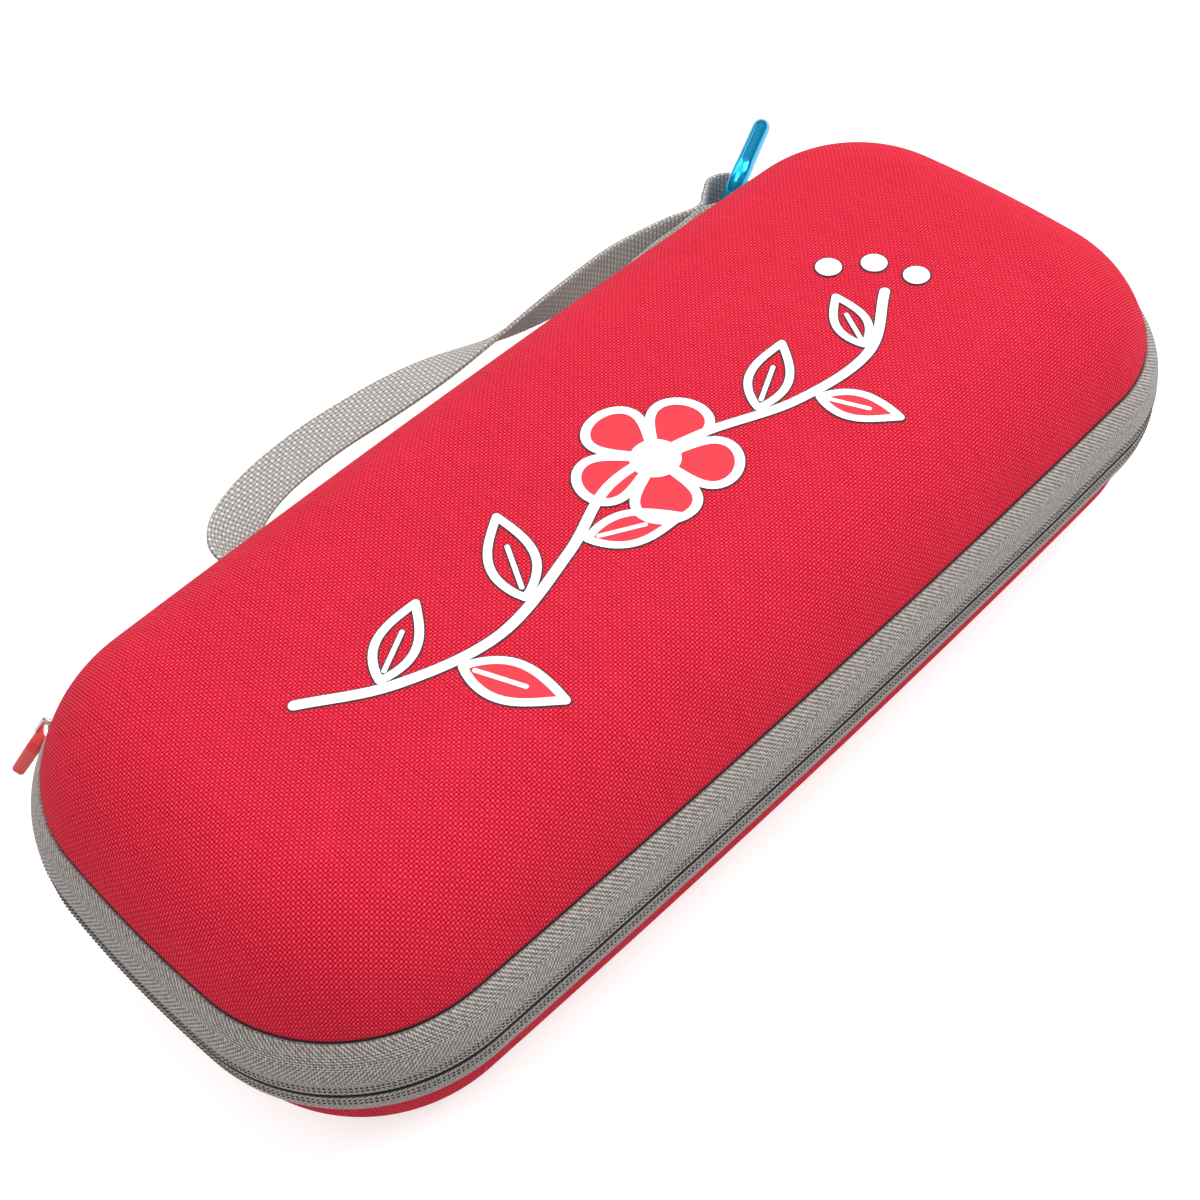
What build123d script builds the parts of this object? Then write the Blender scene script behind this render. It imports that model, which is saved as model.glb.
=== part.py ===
from build123d import *
import os
from math import asin, atan2, cos, degrees, pi, radians, sin, sqrt, tan

# Zip-closed moulded case, closed, standing on its flat base.
# Millimetres. Origin: centre of the bottom face. +X along the length, -Y the front,
# +Y the spine with the carry strap, +Z up.

# ---- driving dimensions ------------------------------------------------------------------
# plan outline at the zip line: eight arcs, long sides and ends slightly bowed
case_length = 285.0
case_width = 125.7
corner_radius = 41.1
side_radius = 3490.0
end_radius = 348.0

# heights
zip_height = 32.8
case_height = 67.6

# half shells, measured away from the zip line
lid_band = 13.3            # height of the grey band on the lid
lid_band_inset = 3.7       # how far the band draws in at the moulded crease
lid_draft = 22.0           # wall slope of the lid above the crease, degrees
lid_shoulder = 28.8        # shoulder radius of the lid
base_band = 10.9
base_band_inset = 3.0
base_draft = 12.0
base_shoulder = 17.7
lid_band_straight = 4.0    # plain part of the band beside the zip before it curves in
base_band_straight = 3.0

# laminated wall
tape_thickness = 0.9
cover_thickness = 0.9
foam_thickness = 3.2
lining_thickness = 0.6
bond_gap = 0.05            # glue line between laminated layers
crease_gap = 0.4           # open crease between band and cover

# zip
tape_gap = 1.1             # slot between the two tapes
coil_depth = 1.6
coil_height = 1.9
rim_distance = 5.0         # foam rim from the zip line
binding_thickness = 0.8
binding_height = 2.8
chain_end_x = 108.0        # the coil ends here, near each end of the spine
stop_length = 3.0
stop_thickness = 0.7
stop_gap = 1.0             # between the coil's end and the stop

# spine
spine_half_length = 98.0
hinge_offset = 0.6         # hinge axis outside the band's face
spine_gap = 0.15

# slider and pull
slider_angle = 68.0        # place on the rear left corner arc, from the end of the case
slider_length = 9.0
slider_plate = 1.0
slider_standoff = 1.1      # outer plate off the tape
slider_web = 0.5
slider_rise = 2.6          # plate height above the zip line
slider_drop = 4.0          # plate height below the zip line
slider_clearance = 0.35
bail_reach = 3.4           # centre of the bail strip off the plate
bail_strip = 0.8
bail_width = 1.6
bail_length = 7.0
link_wire = 1.0
link_inner = 1.0           # inner radius of the link's eye
link_drop = 6.5
grip_width = 8.4
grip_thickness = 3.0
grip_length = 20.0
grip_overlap = 2.4         # how far the link reaches into the grip
grip_corner = 3.2
grip_edge = 0.96
pull_lean = 33.0           # the pull stands off the case by this angle

# carry strap
strap_width = 12.5
strap_thickness = 1.3
strap_height = 23.5        # centre of the sewn ends
spine_clearance = 0.3
left_anchor = (-46.5, -32.0)
right_anchor = (40.0, 54.0)
anchor_gap = 0.35
tack_thickness = 0.5
tack_length = 3.0
tack_margin = 1.5          # plain webbing beside the stitching
steps_per_station = 5

# carabiner
wire = 5.0
carabiner_length = 34.0
carabiner_width = 26.0
carabiner_corner = 6.0
carabiner_heading = 27.0   # direction of its long axis from +X, degrees
carabiner_dip = 3.0
carabiner_lean = 18.0
loop_centre = (119.5, 80.7, 20.0)
loop_inner = 5.8
loop_closure = 11.0        # the loop's stitching, back from its centre
gate_start = 8.0
gate_end = 22.0
gate_radius = 2.1
gate_clearance = 0.4
pin_radius = 0.8
pin_offset = 2.0
running_clearance = 0.05
ear_thickness = 0.9
ear_radius = 2.4
tongue_clearance = 0.2

# interior
band_places = (-55.0, 55.0)
elastic_width = 22.0
elastic_thickness = 1.2
elastic_height = 20.0
elastic_leg = 5.5
elastic_tack = 0.5
elastic_tack_drop = 3.85   # middle of the stitching below the band
pocket_height = 2.0        # net above the lid's crease
net_thickness = 0.8
net_edge_y = 26.0
pocket_elastic_width = 8.0
pocket_elastic_thickness = 1.6
wall_clearance = 0.15

os.makedirs("parts", exist_ok=True)


# ---- plan outline ------------------------------------------------------------------------
half_length = case_length / 2
half_width = case_width / 2
side_centre_y = half_width - side_radius
end_centre_x = half_length - end_radius


def corner_centre():
    """Centre of the corner arc that touches the side arc and the end arc."""
    dx, dy = end_centre_x, -side_centre_y
    span = sqrt(dx * dx + dy * dy)
    a, b = side_radius - corner_radius, end_radius - corner_radius
    along = (a * a - b * b + span * span) / (2 * span)
    across = sqrt(a * a - along * along)
    ex, ey = dx / span, dy / span
    return ex * along + ey * across, side_centre_y + ey * along - ex * across


corner_x, corner_y = corner_centre()
end_turn = degrees(atan2(corner_y, corner_x - end_centre_x))
side_turn = degrees(atan2(corner_y - side_centre_y, corner_x))


# centre x, centre y, radius, start angle and turn of each arc, anticlockwise
outline_arcs = [
    (end_centre_x, 0, end_radius, -end_turn, 2 * end_turn),
    (corner_x, corner_y, corner_radius, end_turn, side_turn - end_turn),
    (0, side_centre_y, side_radius, side_turn, 180 - 2 * side_turn),
    (-corner_x, corner_y, corner_radius, 180 - side_turn, side_turn - end_turn),
    (-end_centre_x, 0, end_radius, 180 - end_turn, 2 * end_turn),
    (-corner_x, -corner_y, corner_radius, 180 + end_turn, side_turn - end_turn),
    (0, -side_centre_y, side_radius, 180 + side_turn, 180 - 2 * side_turn),
    (corner_x, -corner_y, corner_radius, 360 - side_turn, side_turn - end_turn),
]


def outline(inset):
    """Closed plan outline drawn in by inset."""
    arcs = [CenterArc((x, y), r - inset, start, turn) for x, y, r, start, turn in outline_arcs]
    return Wire([arc.edge() for arc in arcs])


def side_y(x, inset=0.0):
    """Y of the rear long side at x."""
    return side_centre_y + sqrt((side_radius - inset) ** 2 - x * x)


def slab(inset, low, high):
    """Flat sheet of the plan outline between two heights."""
    return Pos(0, 0, low) * extrude(Face(outline(inset)), amount=high - low)


def around(section):
    """Carry a section round the whole outline. section(radius) is a face in XZ."""
    pieces = []
    for x, y, radius, start, turn in outline_arcs:
        piece = revolve(section(radius), Axis.Z, revolution_arc=turn)
        pieces.append(Pos(x, y, 0) * Rot(0, 0, start) * piece)
    return pieces[0].fuse(*pieces[1:]).clean()


# ---- wall sections -----------------------------------------------------------------------
class Half:
    """Outer line of a half shell: band, crease, sloping wall, shoulder, flat."""

    def __init__(self, sign, height, band, inset, straight, draft, shoulder):
        self.sign = sign
        self.straight = straight
        rise = band - straight
        self.band_radius = (rise * rise + inset * inset) / (2 * inset)
        self.band_turn = asin(rise / self.band_radius)
        self.slope = radians(draft)
        self.shoulder = shoulder
        self.crease = (inset, band)
        wall = (height - band) / cos(self.slope)
        self.wall = wall - shoulder * tan((pi / 2 - self.slope) / 2)
        self.top = height
        u = inset + self.wall * sin(self.slope)
        h = band + self.wall * cos(self.slope)
        self.shoulder_centre = (u + shoulder * cos(self.slope), h - shoulder * sin(self.slope))

    def place(self, radius, u, h):
        return Vector(radius - u, 0, zip_height + self.sign * h)

    def on_band(self, offset, height):
        """Turn of the band's curve where the offset line reaches a height."""
        return asin(max(height - self.straight, 0) / (self.band_radius - offset))

    def band_edges(self, offset, start, stop=None):
        """Band line from start height to stop height or the crease, offset inwards."""
        r = self.band_radius
        first = self.on_band(offset, start)
        last = self.band_turn if stop is None else self.on_band(offset, stop)

        def on_arc(turn):
            return r - (r - offset) * cos(turn), self.straight + (r - offset) * sin(turn)

        edges = [("arc", on_arc(first), on_arc((first + last) / 2), on_arc(last))]
        if start < self.straight:
            edges.insert(0, ("line", (offset, start), on_arc(first)))
        return edges

    def dome_edges(self, offset, start=0.0):
        """Wall and shoulder from the crease to the flat top, offset inwards."""
        du, dh = sin(self.slope), cos(self.slope)
        nu, nh = cos(self.slope), -sin(self.slope)
        foot = (self.crease[0] + du * start + nu * offset, self.crease[1] + dh * start + nh * offset)
        knee = (
            self.crease[0] + du * self.wall + nu * offset,
            self.crease[1] + dh * self.wall + nh * offset,
        )
        cu, ch = self.shoulder_centre
        r = self.shoulder - offset
        mid = (pi / 2 + self.slope) / 2
        return [
            ("line", foot, knee),
            ("arc", knee, (cu - r * cos(mid), ch + r * sin(mid)), (cu, ch + r)),
        ]

    def face(self, radius, forward, back):
        """Face between two chains of edges that run the same way."""
        turn = ("line", forward[-1][-1], back[-1][-1])
        return closed_face(self, radius, forward + [turn] + reverse(back))

    def flat(self):
        return self.shoulder_centre[0]

    def wall_u(self, h, offset):
        """Inward distance of the wall at height h above the zip line."""
        return self.crease[0] + (h - self.crease[1]) * tan(self.slope) + offset / cos(self.slope)


lid = Half(1, case_height - zip_height, lid_band, lid_band_inset, lid_band_straight, lid_draft, lid_shoulder)
base = Half(-1, zip_height, base_band, base_band_inset, base_band_straight, base_draft, base_shoulder)


def reverse(chain):
    return [(kind, *points[::-1]) for kind, *points in reversed(chain)]


def closed_face(half, radius, chain):
    """Face in XZ inside a chain of lines and arcs; the last gap is closed by a line."""
    edges = []
    for kind, *points in chain + [("line", chain[-1][-1], chain[0][1])]:
        at = [half.place(radius, *point) for point in points]
        edges.append(Line(*at) if kind == "line" else ThreePointArc(*at))
    return Face(Wire([edge.edge() for edge in edges]))


def bridge(lower, upper):
    """Join two chains of edges with a straight line where they meet at the crease."""
    return lower + [("line", lower[-1][-1], upper[0][1])] + upper


foam_outer = max(tape_thickness, cover_thickness) + bond_gap
foam_inner = foam_outer + foam_thickness
lining_outer = foam_inner + bond_gap
lining_inner = lining_outer + lining_thickness
binding_outer = lining_inner + bond_gap
binding_inner = binding_outer + binding_thickness


def top_slab(half, near, far):
    """Flat part of a layer, between two depths under the outer face."""
    a = half.place(0, 0, half.top - near).Z
    b = half.place(0, 0, half.top - far).Z
    return slab(half.flat(), min(a, b), max(a, b))


def cover(half):
    ring = around(lambda radius: half.face(
        radius, half.dome_edges(0, crease_gap), half.dome_edges(cover_thickness, crease_gap)))
    return (ring + top_slab(half, 0, cover_thickness)).clean()


def layer(half, near, far, start):
    """Foam or lining: follows the band and the dome."""
    def chain(radius, offset):
        return bridge(half.band_edges(offset, start), half.dome_edges(offset))
    ring = around(lambda radius: half.face(radius, chain(radius, near), chain(radius, far)))
    return (ring + top_slab(half, near, far)).clean()


def spine_box(reach, low, high):
    """Block behind the case that spans the spine."""
    return Pos(0, half_width, (low + high) / 2) * Box(2 * reach, half_width, high - low)


def band_ring(half, near, far, start):
    return around(lambda radius: half.face(
        radius, half.band_edges(near, start), half.band_edges(far, start)))


def strip(half, near, far, low, high):
    """Straight-sided strip that follows the outline."""
    def section(radius):
        corners = [(near, low), (far, low), (far, high), (near, high)]
        return Face(Wire.make_polygon([half.place(radius, *c) for c in corners], close=True))
    return around(section)


def zip_tape(half):
    ring = band_ring(half, 0, tape_thickness, tape_gap / 2)
    return ring - spine_box(spine_half_length + spine_gap, 0, case_height)


def spine_web(half):
    """One half of the cloth spine, in line with the tape."""
    ring = band_ring(half, 0, tape_thickness, spine_gap)
    return ring & spine_box(spine_half_length, 0, case_height)


def zip_coil(half):
    near = tape_thickness + bond_gap
    ring = strip(half, near, near + coil_depth, tape_gap / 2, tape_gap / 2 + coil_height)
    return ring - spine_box(chain_end_x, 0, case_height)


def binding(half):
    """Folded cloth strip over the raw rim of foam and lining."""
    low = rim_distance - bond_gap - binding_thickness
    high = low + binding_height

    def face(radius):
        inner = half.band_edges(binding_inner, low, high)
        middle = half.band_edges(binding_outer, low + binding_thickness, high)
        hook = half.band_edges(foam_outer, low, low + binding_thickness)
        back = [("line", middle[0][1], hook[-1][-1])] + reverse(hook)
        chain = inner + [("line", inner[-1][-1], middle[-1][-1])] + reverse(middle) + back
        return closed_face(half, radius, chain)

    return around(face)


def near_spine(part, low_x, high_x):
    """Keep what lies behind the case centre between two distances from the middle."""
    blocks = [
        Pos(side * (low_x + high_x) / 2, half_width, zip_height)
        * Box(high_x - low_x, case_width, 2 * case_height)
        for side in (-1, 1)
    ]
    return Part() + [part & block for block in blocks]


def zip_stops(half):
    ring = strip(half, -stop_thickness, 0, tape_gap / 2, half.straight)
    return near_spine(ring, chain_end_x - stop_gap - stop_length, chain_end_x - stop_gap)


# ---- slider and pull ---------------------------------------------------------------------
slider_turn = radians(slider_angle)
outward = Vector(-cos(slider_turn), sin(slider_turn), 0)
rearward = Vector(sin(slider_turn), cos(slider_turn), 0)
corner_axis = Vector(-corner_x, corner_y, zip_height)
plate_outer = corner_radius + slider_standoff + slider_plate
inner_plate = corner_radius - tape_thickness - bond_gap - coil_depth - slider_clearance
bail_centre = corner_axis + outward * (plate_outer + bail_reach)


def xz_box(x0, x1, z0, z1):
    corners = [Vector(x, 0, z) for x, z in ((x0, z0), (x1, z0), (x1, z1), (x0, z1))]
    return Face(Wire.make_polygon(corners, close=True))


def slider_body():
    """Two curved plates joined by a thin web through the slot between the tapes."""
    turn = degrees(slider_length / corner_radius)
    web = slider_web / 2
    sections = [
        xz_box(plate_outer - slider_plate, plate_outer, -slider_drop, slider_rise),
        xz_box(inner_plate - slider_plate, inner_plate, -slider_rise, slider_rise),
        xz_box(inner_plate - slider_plate / 2, plate_outer - slider_plate / 2, -web, web),
        xz_box(corner_radius + slider_clearance, plate_outer, -slider_drop, -slider_drop + slider_plate / 2),
    ]
    body = Part() + [revolve(face, Axis.Z, revolution_arc=turn) for face in sections]
    body = Pos(corner_axis) * Rot(0, 0, 180 - slider_angle - turn / 2) * body
    plane = Plane(corner_axis, x_dir=rearward, z_dir=outward)
    tall, nose = slider_drop + 1, slider_rise
    shape = plane * Polygon(
        (-slider_length, -nose), (0, -tall), (slider_length, -tall),
        (slider_length, tall), (0, tall), (-slider_length, nose), align=None)
    return body & extrude(shape, amount=2 * corner_radius)


def bail(body):
    """Low arch on the outer plate, along the zip."""
    plane = Plane(bail_centre - outward * bail_reach, x_dir=rearward, z_dir=rearward.cross(outward))
    half, top = bail_length / 2, bail_reach + bail_strip / 2
    sink = slider_plate / 2
    outer = Wire([
        Line((-half, -sink), (-half, top / 2)).edge(),
        ThreePointArc((-half, top / 2), (0, top), (half, top / 2)).edge(),
        Line((half, top / 2), (half, -sink)).edge(),
        Line((half, -sink), (half - bail_strip, -sink)).edge(),
        Line((half - bail_strip, -sink), (half - bail_strip, top / 2 - bail_strip / 2)).edge(),
        ThreePointArc(
            (half - bail_strip, top / 2 - bail_strip / 2), (0, top - bail_strip),
            (bail_strip - half, top / 2 - bail_strip / 2)).edge(),
        Line((bail_strip - half, top / 2 - bail_strip / 2), (bail_strip - half, -sink)).edge(),
        Line((bail_strip - half, -sink), (-half, -sink)).edge(),
    ])
    arch = extrude(plane * Face(outer), amount=bail_width / 2, both=True)
    return arch - body


pull_plane = Plane(bail_centre, x_dir=outward, z_dir=outward.cross(Vector(0, 0, 1)))
pull_plane = pull_plane * Rot(0, 0, pull_lean)


def pull_link():
    """Long eye of wire that hangs from the bail."""
    r = link_inner + link_wire / 2
    path = Wire([
        CenterArc((0, 0), r, 0, 180).edge(),
        Line((-r, 0), (-r, -link_drop)).edge(),
        CenterArc((0, -link_drop), r, 180, 180).edge(),
        Line((r, -link_drop), (r, 0)).edge(),
    ])
    path = pull_plane * path
    start = Plane(path @ 0, z_dir=path % 0)
    return sweep(start * Circle(link_wire / 2), path=path)


def pull_grip(link):
    """Moulded grip cast round the foot of the link."""
    top = -link_drop - link_inner - link_wire + grip_overlap
    block = Box(grip_thickness, grip_length, grip_width, align=(Align.CENTER, Align.MAX, Align.CENTER))
    block = fillet(block.edges().filter_by(Axis.X), grip_corner)
    rims = block.edges().group_by(Axis.X)
    block = fillet(rims[0] + rims[-1], grip_edge)
    return pull_plane * (Pos(0, top, 0) * block) - link


# ---- carry strap -------------------------------------------------------------------------
strap_y = half_width + spine_clearance + strap_thickness / 2
loop_x, loop_y, loop_z = loop_centre
loop_reach = loop_inner + strap_thickness / 2
layer_offset = strap_thickness / 2 + bond_gap
tack_width = strap_width - 2 * tack_margin


def strap_route():
    """Stations from the left sewn end, out and round to the loop and back to the right one.

    Each is (x, y, z, twist): twist 0 lies flat, 90 stands on edge.
    """
    left, right = left_anchor[0] - anchor_gap, right_anchor[1] + anchor_gap
    stations = [
        (left, strap_y, strap_height, 90),
        (left - 7, strap_y + 2.4, 23.8, 82),
        (left - 11.5, 72, 24, 64),
        (left - 10.5, 79.5, 24.6, 42),
        (left - 3.5, 85.8, 25.4, 22),
        (-38, 89.8, 26, 12),
        (-20, 91.3, 26, 10),
        (0, 90.2, 25.8, 6),
        (16, 88.8, 25.4, -10),
        (30, 87.6, 24.6, -35),
        (44, 86.8, 23.4, -60),
        (60, 87, 21.8, -78),
        (80, 87.4, 20.6, -87),
        (98, 84.6, loop_z, -90),
        (loop_x - loop_closure, loop_y + layer_offset, loop_z, -90),
    ]
    for angle in (145, 90, 35, -35, -90, -145):
        turn = radians(angle)
        stations.append(
            (loop_x + loop_reach * cos(turn), loop_y + loop_reach * sin(turn), loop_z, -90))
    stations += [
        (loop_x - loop_closure, loop_y - layer_offset, loop_z, -90),
        (98, 79.6, loop_z, -90),
        (86, 79.0, 20.6, -90),
        (74, 76.6, 21.6, -90),
        (66, 71.6, 22.4, -90),
        (right + 5.5, strap_y + 2.2, 23.2, -90),
        (right, strap_y, strap_height, -90),
    ]
    return stations


def smooth(stations, steps):
    """Catmull-Rom interpolation through the stations."""
    first = tuple(2 * a - b for a, b in zip(stations[0], stations[1]))
    last = tuple(2 * a - b for a, b in zip(stations[-1], stations[-2]))
    line = [first] + stations + [last]
    result = []
    for p, q, r, s in zip(line, line[1:], line[2:], line[3:]):
        for step in range(steps):
            t = step / steps
            result.append(tuple(
                0.5 * (2 * b + (c - a) * t + (2 * a - 5 * b + 4 * c - d) * t * t
                       + (3 * b - a - 3 * c + d) * t ** 3)
                for a, b, c, d in zip(p, q, r, s)))
    result.append(stations[-1])
    return result


def webbing(points):
    """Flat webbing along points of (x, y, z, twist)."""
    sections = []
    for i, (x, y, z, twist) in enumerate(points):
        before, after = points[max(i - 1, 0)], points[min(i + 1, len(points) - 1)]
        along = (Vector(*after[:3]) - Vector(*before[:3])).normalized()
        flat = Vector(0, 0, 1).cross(along).normalized()
        across = flat * cos(radians(twist)) + along.cross(flat) * sin(radians(twist))
        if i == 0 or i == len(points) - 1:
            along = Vector(-1, 0, 0)
            across = Vector(0, 0, 1) if twist > 0 else Vector(0, 0, -1)
        plane = Plane((x, y, z), x_dir=across, z_dir=along)
        sections.append(plane * Rectangle(strap_width, strap_thickness))
    return Solid.make_loft([section.face().outer_wire() for section in sections], ruled=True)


def anchor(span):
    low, high = span
    return Pos((low + high) / 2, strap_y, strap_height) * Box(high - low, strap_thickness, strap_width)


def anchor_tacks():
    """Dense stitching over the sewn ends, two rows on each."""
    rows = []
    for low, high in (left_anchor, right_anchor):
        for x in (low + tack_length, high - tack_length):
            y = strap_y + strap_thickness / 2 + tack_thickness / 2
            rows.append(Pos(x, y, strap_height) * Box(tack_length, tack_thickness, tack_width))
    return Part() + rows


def loop_tack(strap):
    """Bar of stitching that closes the loop, through both layers."""
    depth = 2 * strap_thickness + 2 * bond_gap + 2 * tack_thickness
    return Pos(loop_x - loop_closure, loop_y, loop_z) * Box(tack_length, depth, tack_width) - strap


# ---- carabiner ---------------------------------------------------------------------------
heading, dip, lean = (radians(a) for a in (carabiner_heading, carabiner_dip, carabiner_lean))
long_axis = Vector(cos(dip) * cos(heading), cos(dip) * sin(heading), -sin(dip))
level = Vector(-sin(heading), cos(heading), 0)
upright = long_axis.cross(level)
face_normal = (level * cos(lean) + upright * sin(lean)) * -1
clip_plane = Plane(Vector(*loop_centre), x_dir=long_axis, z_dir=face_normal)
bar_y = (carabiner_width - wire) / 2
clip_reach = carabiner_length - wire
pin_x = gate_start + pin_offset


def carabiner_frame():
    """Bent bar with two ears that hold the gate's pin."""
    r = carabiner_corner
    path = Wire([
        Line((gate_start, -bar_y), (r, -bar_y)).edge(),
        CenterArc((r, r - bar_y), r, 270, -90).edge(),
        Line((0, r - bar_y), (0, bar_y - r)).edge(),
        CenterArc((r, bar_y - r), r, 180, -90).edge(),
        Line((r, bar_y), (clip_reach - r, bar_y)).edge(),
        CenterArc((clip_reach - r, bar_y - r), r, 90, -90).edge(),
        Line((clip_reach, bar_y - r), (clip_reach, r - bar_y)).edge(),
        CenterArc((clip_reach - r, r - bar_y), r, 0, -90).edge(),
        Line((clip_reach - r, -bar_y), (gate_end, -bar_y)).edge(),
    ])
    bar = sweep(Plane((gate_start, -bar_y), z_dir=(-1, 0)) * Circle(wire / 2), path=path)
    ears = []
    for side in (-1, 1):
        z = side * (wire - ear_thickness) / 2
        ear = Pos(pin_x, -bar_y, z) * Cylinder(ear_radius, ear_thickness)
        root = Pos(pin_x - ear_radius, -bar_y, z) * Box(2 * ear_radius, 2 * ear_radius, ear_thickness)
        round_bar = Pos(gate_start, -bar_y, 0) * Rot(0, 90, 0) * Cylinder(wire / 2, wire * 3)
        ears.append((ear + root) & round_bar)
    pin = Pos(pin_x, -bar_y, 0) * Cylinder(pin_radius, wire)
    return clip_plane * (bar + ears - pin)


def gate_pin():
    return clip_plane * (Pos(pin_x, -bar_y, 0) * Cylinder(pin_radius, wire))


def carabiner_gate():
    """Round gate with a flat tongue between the ears."""
    thickness = wire - 2 * ear_thickness - 2 * tongue_clearance
    body_start = pin_x + ear_radius + gate_clearance
    length = gate_end - gate_clearance - body_start
    body = Pos(body_start + length / 2, -bar_y, 0) * Rot(0, 90, 0) * Cylinder(gate_radius, length)
    tongue = Pos(pin_x, -bar_y, 0) * Cylinder(gate_radius - gate_clearance, thickness)
    reach = body_start + gate_radius - pin_x
    tongue += Pos(pin_x + reach / 2, -bar_y, 0) * Box(reach, 2 * (gate_radius - gate_clearance), thickness)
    bore = Pos(pin_x, -bar_y, 0) * Cylinder(pin_radius + running_clearance, wire)
    return clip_plane * (body + tongue - bore)


# ---- interior ----------------------------------------------------------------------------
def band_reach(x):
    """Half the span of an elastic band between the lined walls, at its outer edge."""
    far_x = abs(x) + elastic_width / 2
    wall = base.wall_u(zip_height - elastic_height, lining_inner) + wall_clearance
    return side_y(far_x) - wall


def elastic_band(x):
    """Elastic across the base, sewn to the lining at both walls."""
    reach = band_reach(x)
    lean_in = elastic_leg * tan(base.slope)
    t = elastic_thickness
    points = [
        (reach - lean_in, -elastic_leg), (reach, 0), (-reach, 0), (lean_in - reach, -elastic_leg),
        (lean_in - reach + t, -elastic_leg), (t - reach, -t), (reach - t, -t),
        (reach - lean_in - t, -elastic_leg),
    ]
    corners = [Vector(x - elastic_width / 2, y, elastic_height + z) for y, z in points]
    return extrude(Face(Wire.make_polygon(corners, close=True)), amount=elastic_width, dir=(1, 0, 0))


def elastic_tacks():
    """Bars of stitching through the legs of the bands."""
    tacks = []
    for x in band_places:
        y = band_reach(x) - elastic_tack_drop * tan(base.slope) - elastic_thickness - elastic_tack / 2
        for side in (-1, 1):
            block = Box(elastic_width - 2 * tack_margin, elastic_tack * cos(base.slope), tack_length)
            place = Pos(x, side * y, elastic_height - elastic_tack_drop)
            tacks.append(place * Rot(-side * base_draft, 0, 0) * block)
    return Part() + tacks


pocket_z = zip_height + lid_band + pocket_height
pocket_rise = lid_band + pocket_height + pocket_elastic_thickness
pocket_inset = lid.wall_u(pocket_rise, lining_inner) + wall_clearance


def pocket_net():
    front = Pos(0, net_edge_y - case_width, 0) * Box(2 * case_length, 2 * case_width, 4 * case_height)
    return slab(pocket_inset, pocket_z, pocket_z + net_thickness) & front


def pocket_elastic():
    y = net_edge_y + pocket_elastic_width / 2
    block = Pos(0, y, 0) * Box(2 * case_length, pocket_elastic_width, 4 * case_height)
    return slab(pocket_inset, pocket_z, pocket_z + pocket_elastic_thickness) & block


parts = {}
for name, half in (("lid", lid), ("base", base)):
    parts[f"{name}_cover"] = cover(half)
    parts[f"{name}_foam_shell"] = layer(half, foam_outer, foam_inner, rim_distance)
    parts[f"{name}_lining"] = layer(half, lining_outer, lining_inner, rim_distance)
    parts[f"{name}_zip_tape"] = zip_tape(half)
    parts[f"{name}_zip_coil"] = zip_coil(half)
    parts[f"{name}_zip_stops"] = zip_stops(half)
    parts[f"{name}_rim_binding"] = binding(half)
    parts[f"{name}_spine_web"] = spine_web(half)

parts["slider_body"] = slider_body()
parts["slider_bail"] = bail(parts["slider_body"])
parts["pull_link"] = pull_link()
parts["pull_grip"] = pull_grip(parts["pull_link"])

strap = webbing(smooth(strap_route(), steps_per_station))
parts["strap_webbing"] = strap
parts["strap_loop_tack"] = loop_tack(strap)
parts["strap_end_left"] = anchor(left_anchor)
parts["strap_end_right"] = anchor(right_anchor)
parts["strap_end_tacks"] = anchor_tacks()

parts["carabiner_frame"] = carabiner_frame()
parts["carabiner_gate"] = carabiner_gate()
parts["carabiner_gate_pin"] = gate_pin()

for side, x in zip(("left", "right"), band_places):
    parts[f"elastic_band_{side}"] = elastic_band(x)
parts["elastic_band_tacks"] = elastic_tacks()
parts["pocket_net"] = pocket_net()
parts["pocket_elastic"] = pocket_elastic()

for name, part in parts.items():
    export_step(part, f"parts/{name}.step")
    print(name, round(part.volume), len(part.solids()))
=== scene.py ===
from functools import cache
from math import asin, atan2, ceil, cos, pi, radians, sin, sqrt, tan

import bmesh
import bpy
from mathutils import Matrix, Vector
from mathutils.bvhtree import BVHTree


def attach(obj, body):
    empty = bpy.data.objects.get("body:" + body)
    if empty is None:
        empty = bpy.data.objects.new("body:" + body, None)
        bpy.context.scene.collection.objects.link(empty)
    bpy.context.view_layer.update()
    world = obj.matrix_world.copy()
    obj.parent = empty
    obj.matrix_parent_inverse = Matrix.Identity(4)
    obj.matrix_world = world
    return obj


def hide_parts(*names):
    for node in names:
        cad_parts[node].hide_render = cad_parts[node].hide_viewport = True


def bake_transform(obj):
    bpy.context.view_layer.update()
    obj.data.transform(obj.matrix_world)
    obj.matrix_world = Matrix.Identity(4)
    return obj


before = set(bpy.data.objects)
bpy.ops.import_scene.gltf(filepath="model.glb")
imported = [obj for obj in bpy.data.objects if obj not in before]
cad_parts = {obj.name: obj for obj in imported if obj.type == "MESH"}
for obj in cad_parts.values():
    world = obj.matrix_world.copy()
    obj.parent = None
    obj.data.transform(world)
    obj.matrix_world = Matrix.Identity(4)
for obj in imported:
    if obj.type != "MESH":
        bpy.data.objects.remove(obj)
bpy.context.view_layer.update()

bl_info = {
    "name": "Moulded zip case",
    "version": (1, 0, 0),
    "blender": (4, 5, 0),
    "location": "View3D > Sidebar > Case",
    "description": "Builds the cloth, zip, strap and hook of a long moulded case",
    "category": "Object",
}

MM = 0.001


# ---- settings ----------------------------------------------------------------------------
def length(name, description, value):
    """A size given in millimetres."""
    return bpy.props.FloatProperty(
        name=name, description=description, default=value * MM, unit="LENGTH", precision=5)


def colour(name, description, value):
    """A linear colour."""
    return bpy.props.FloatVectorProperty(
        name=name, description=description, default=value, subtype="COLOR", size=3, min=0, max=1)


def angle(name, description, value):
    """An angle given in degrees."""
    return bpy.props.FloatProperty(
        name=name, description=description, default=radians(value), subtype="ANGLE")


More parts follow.
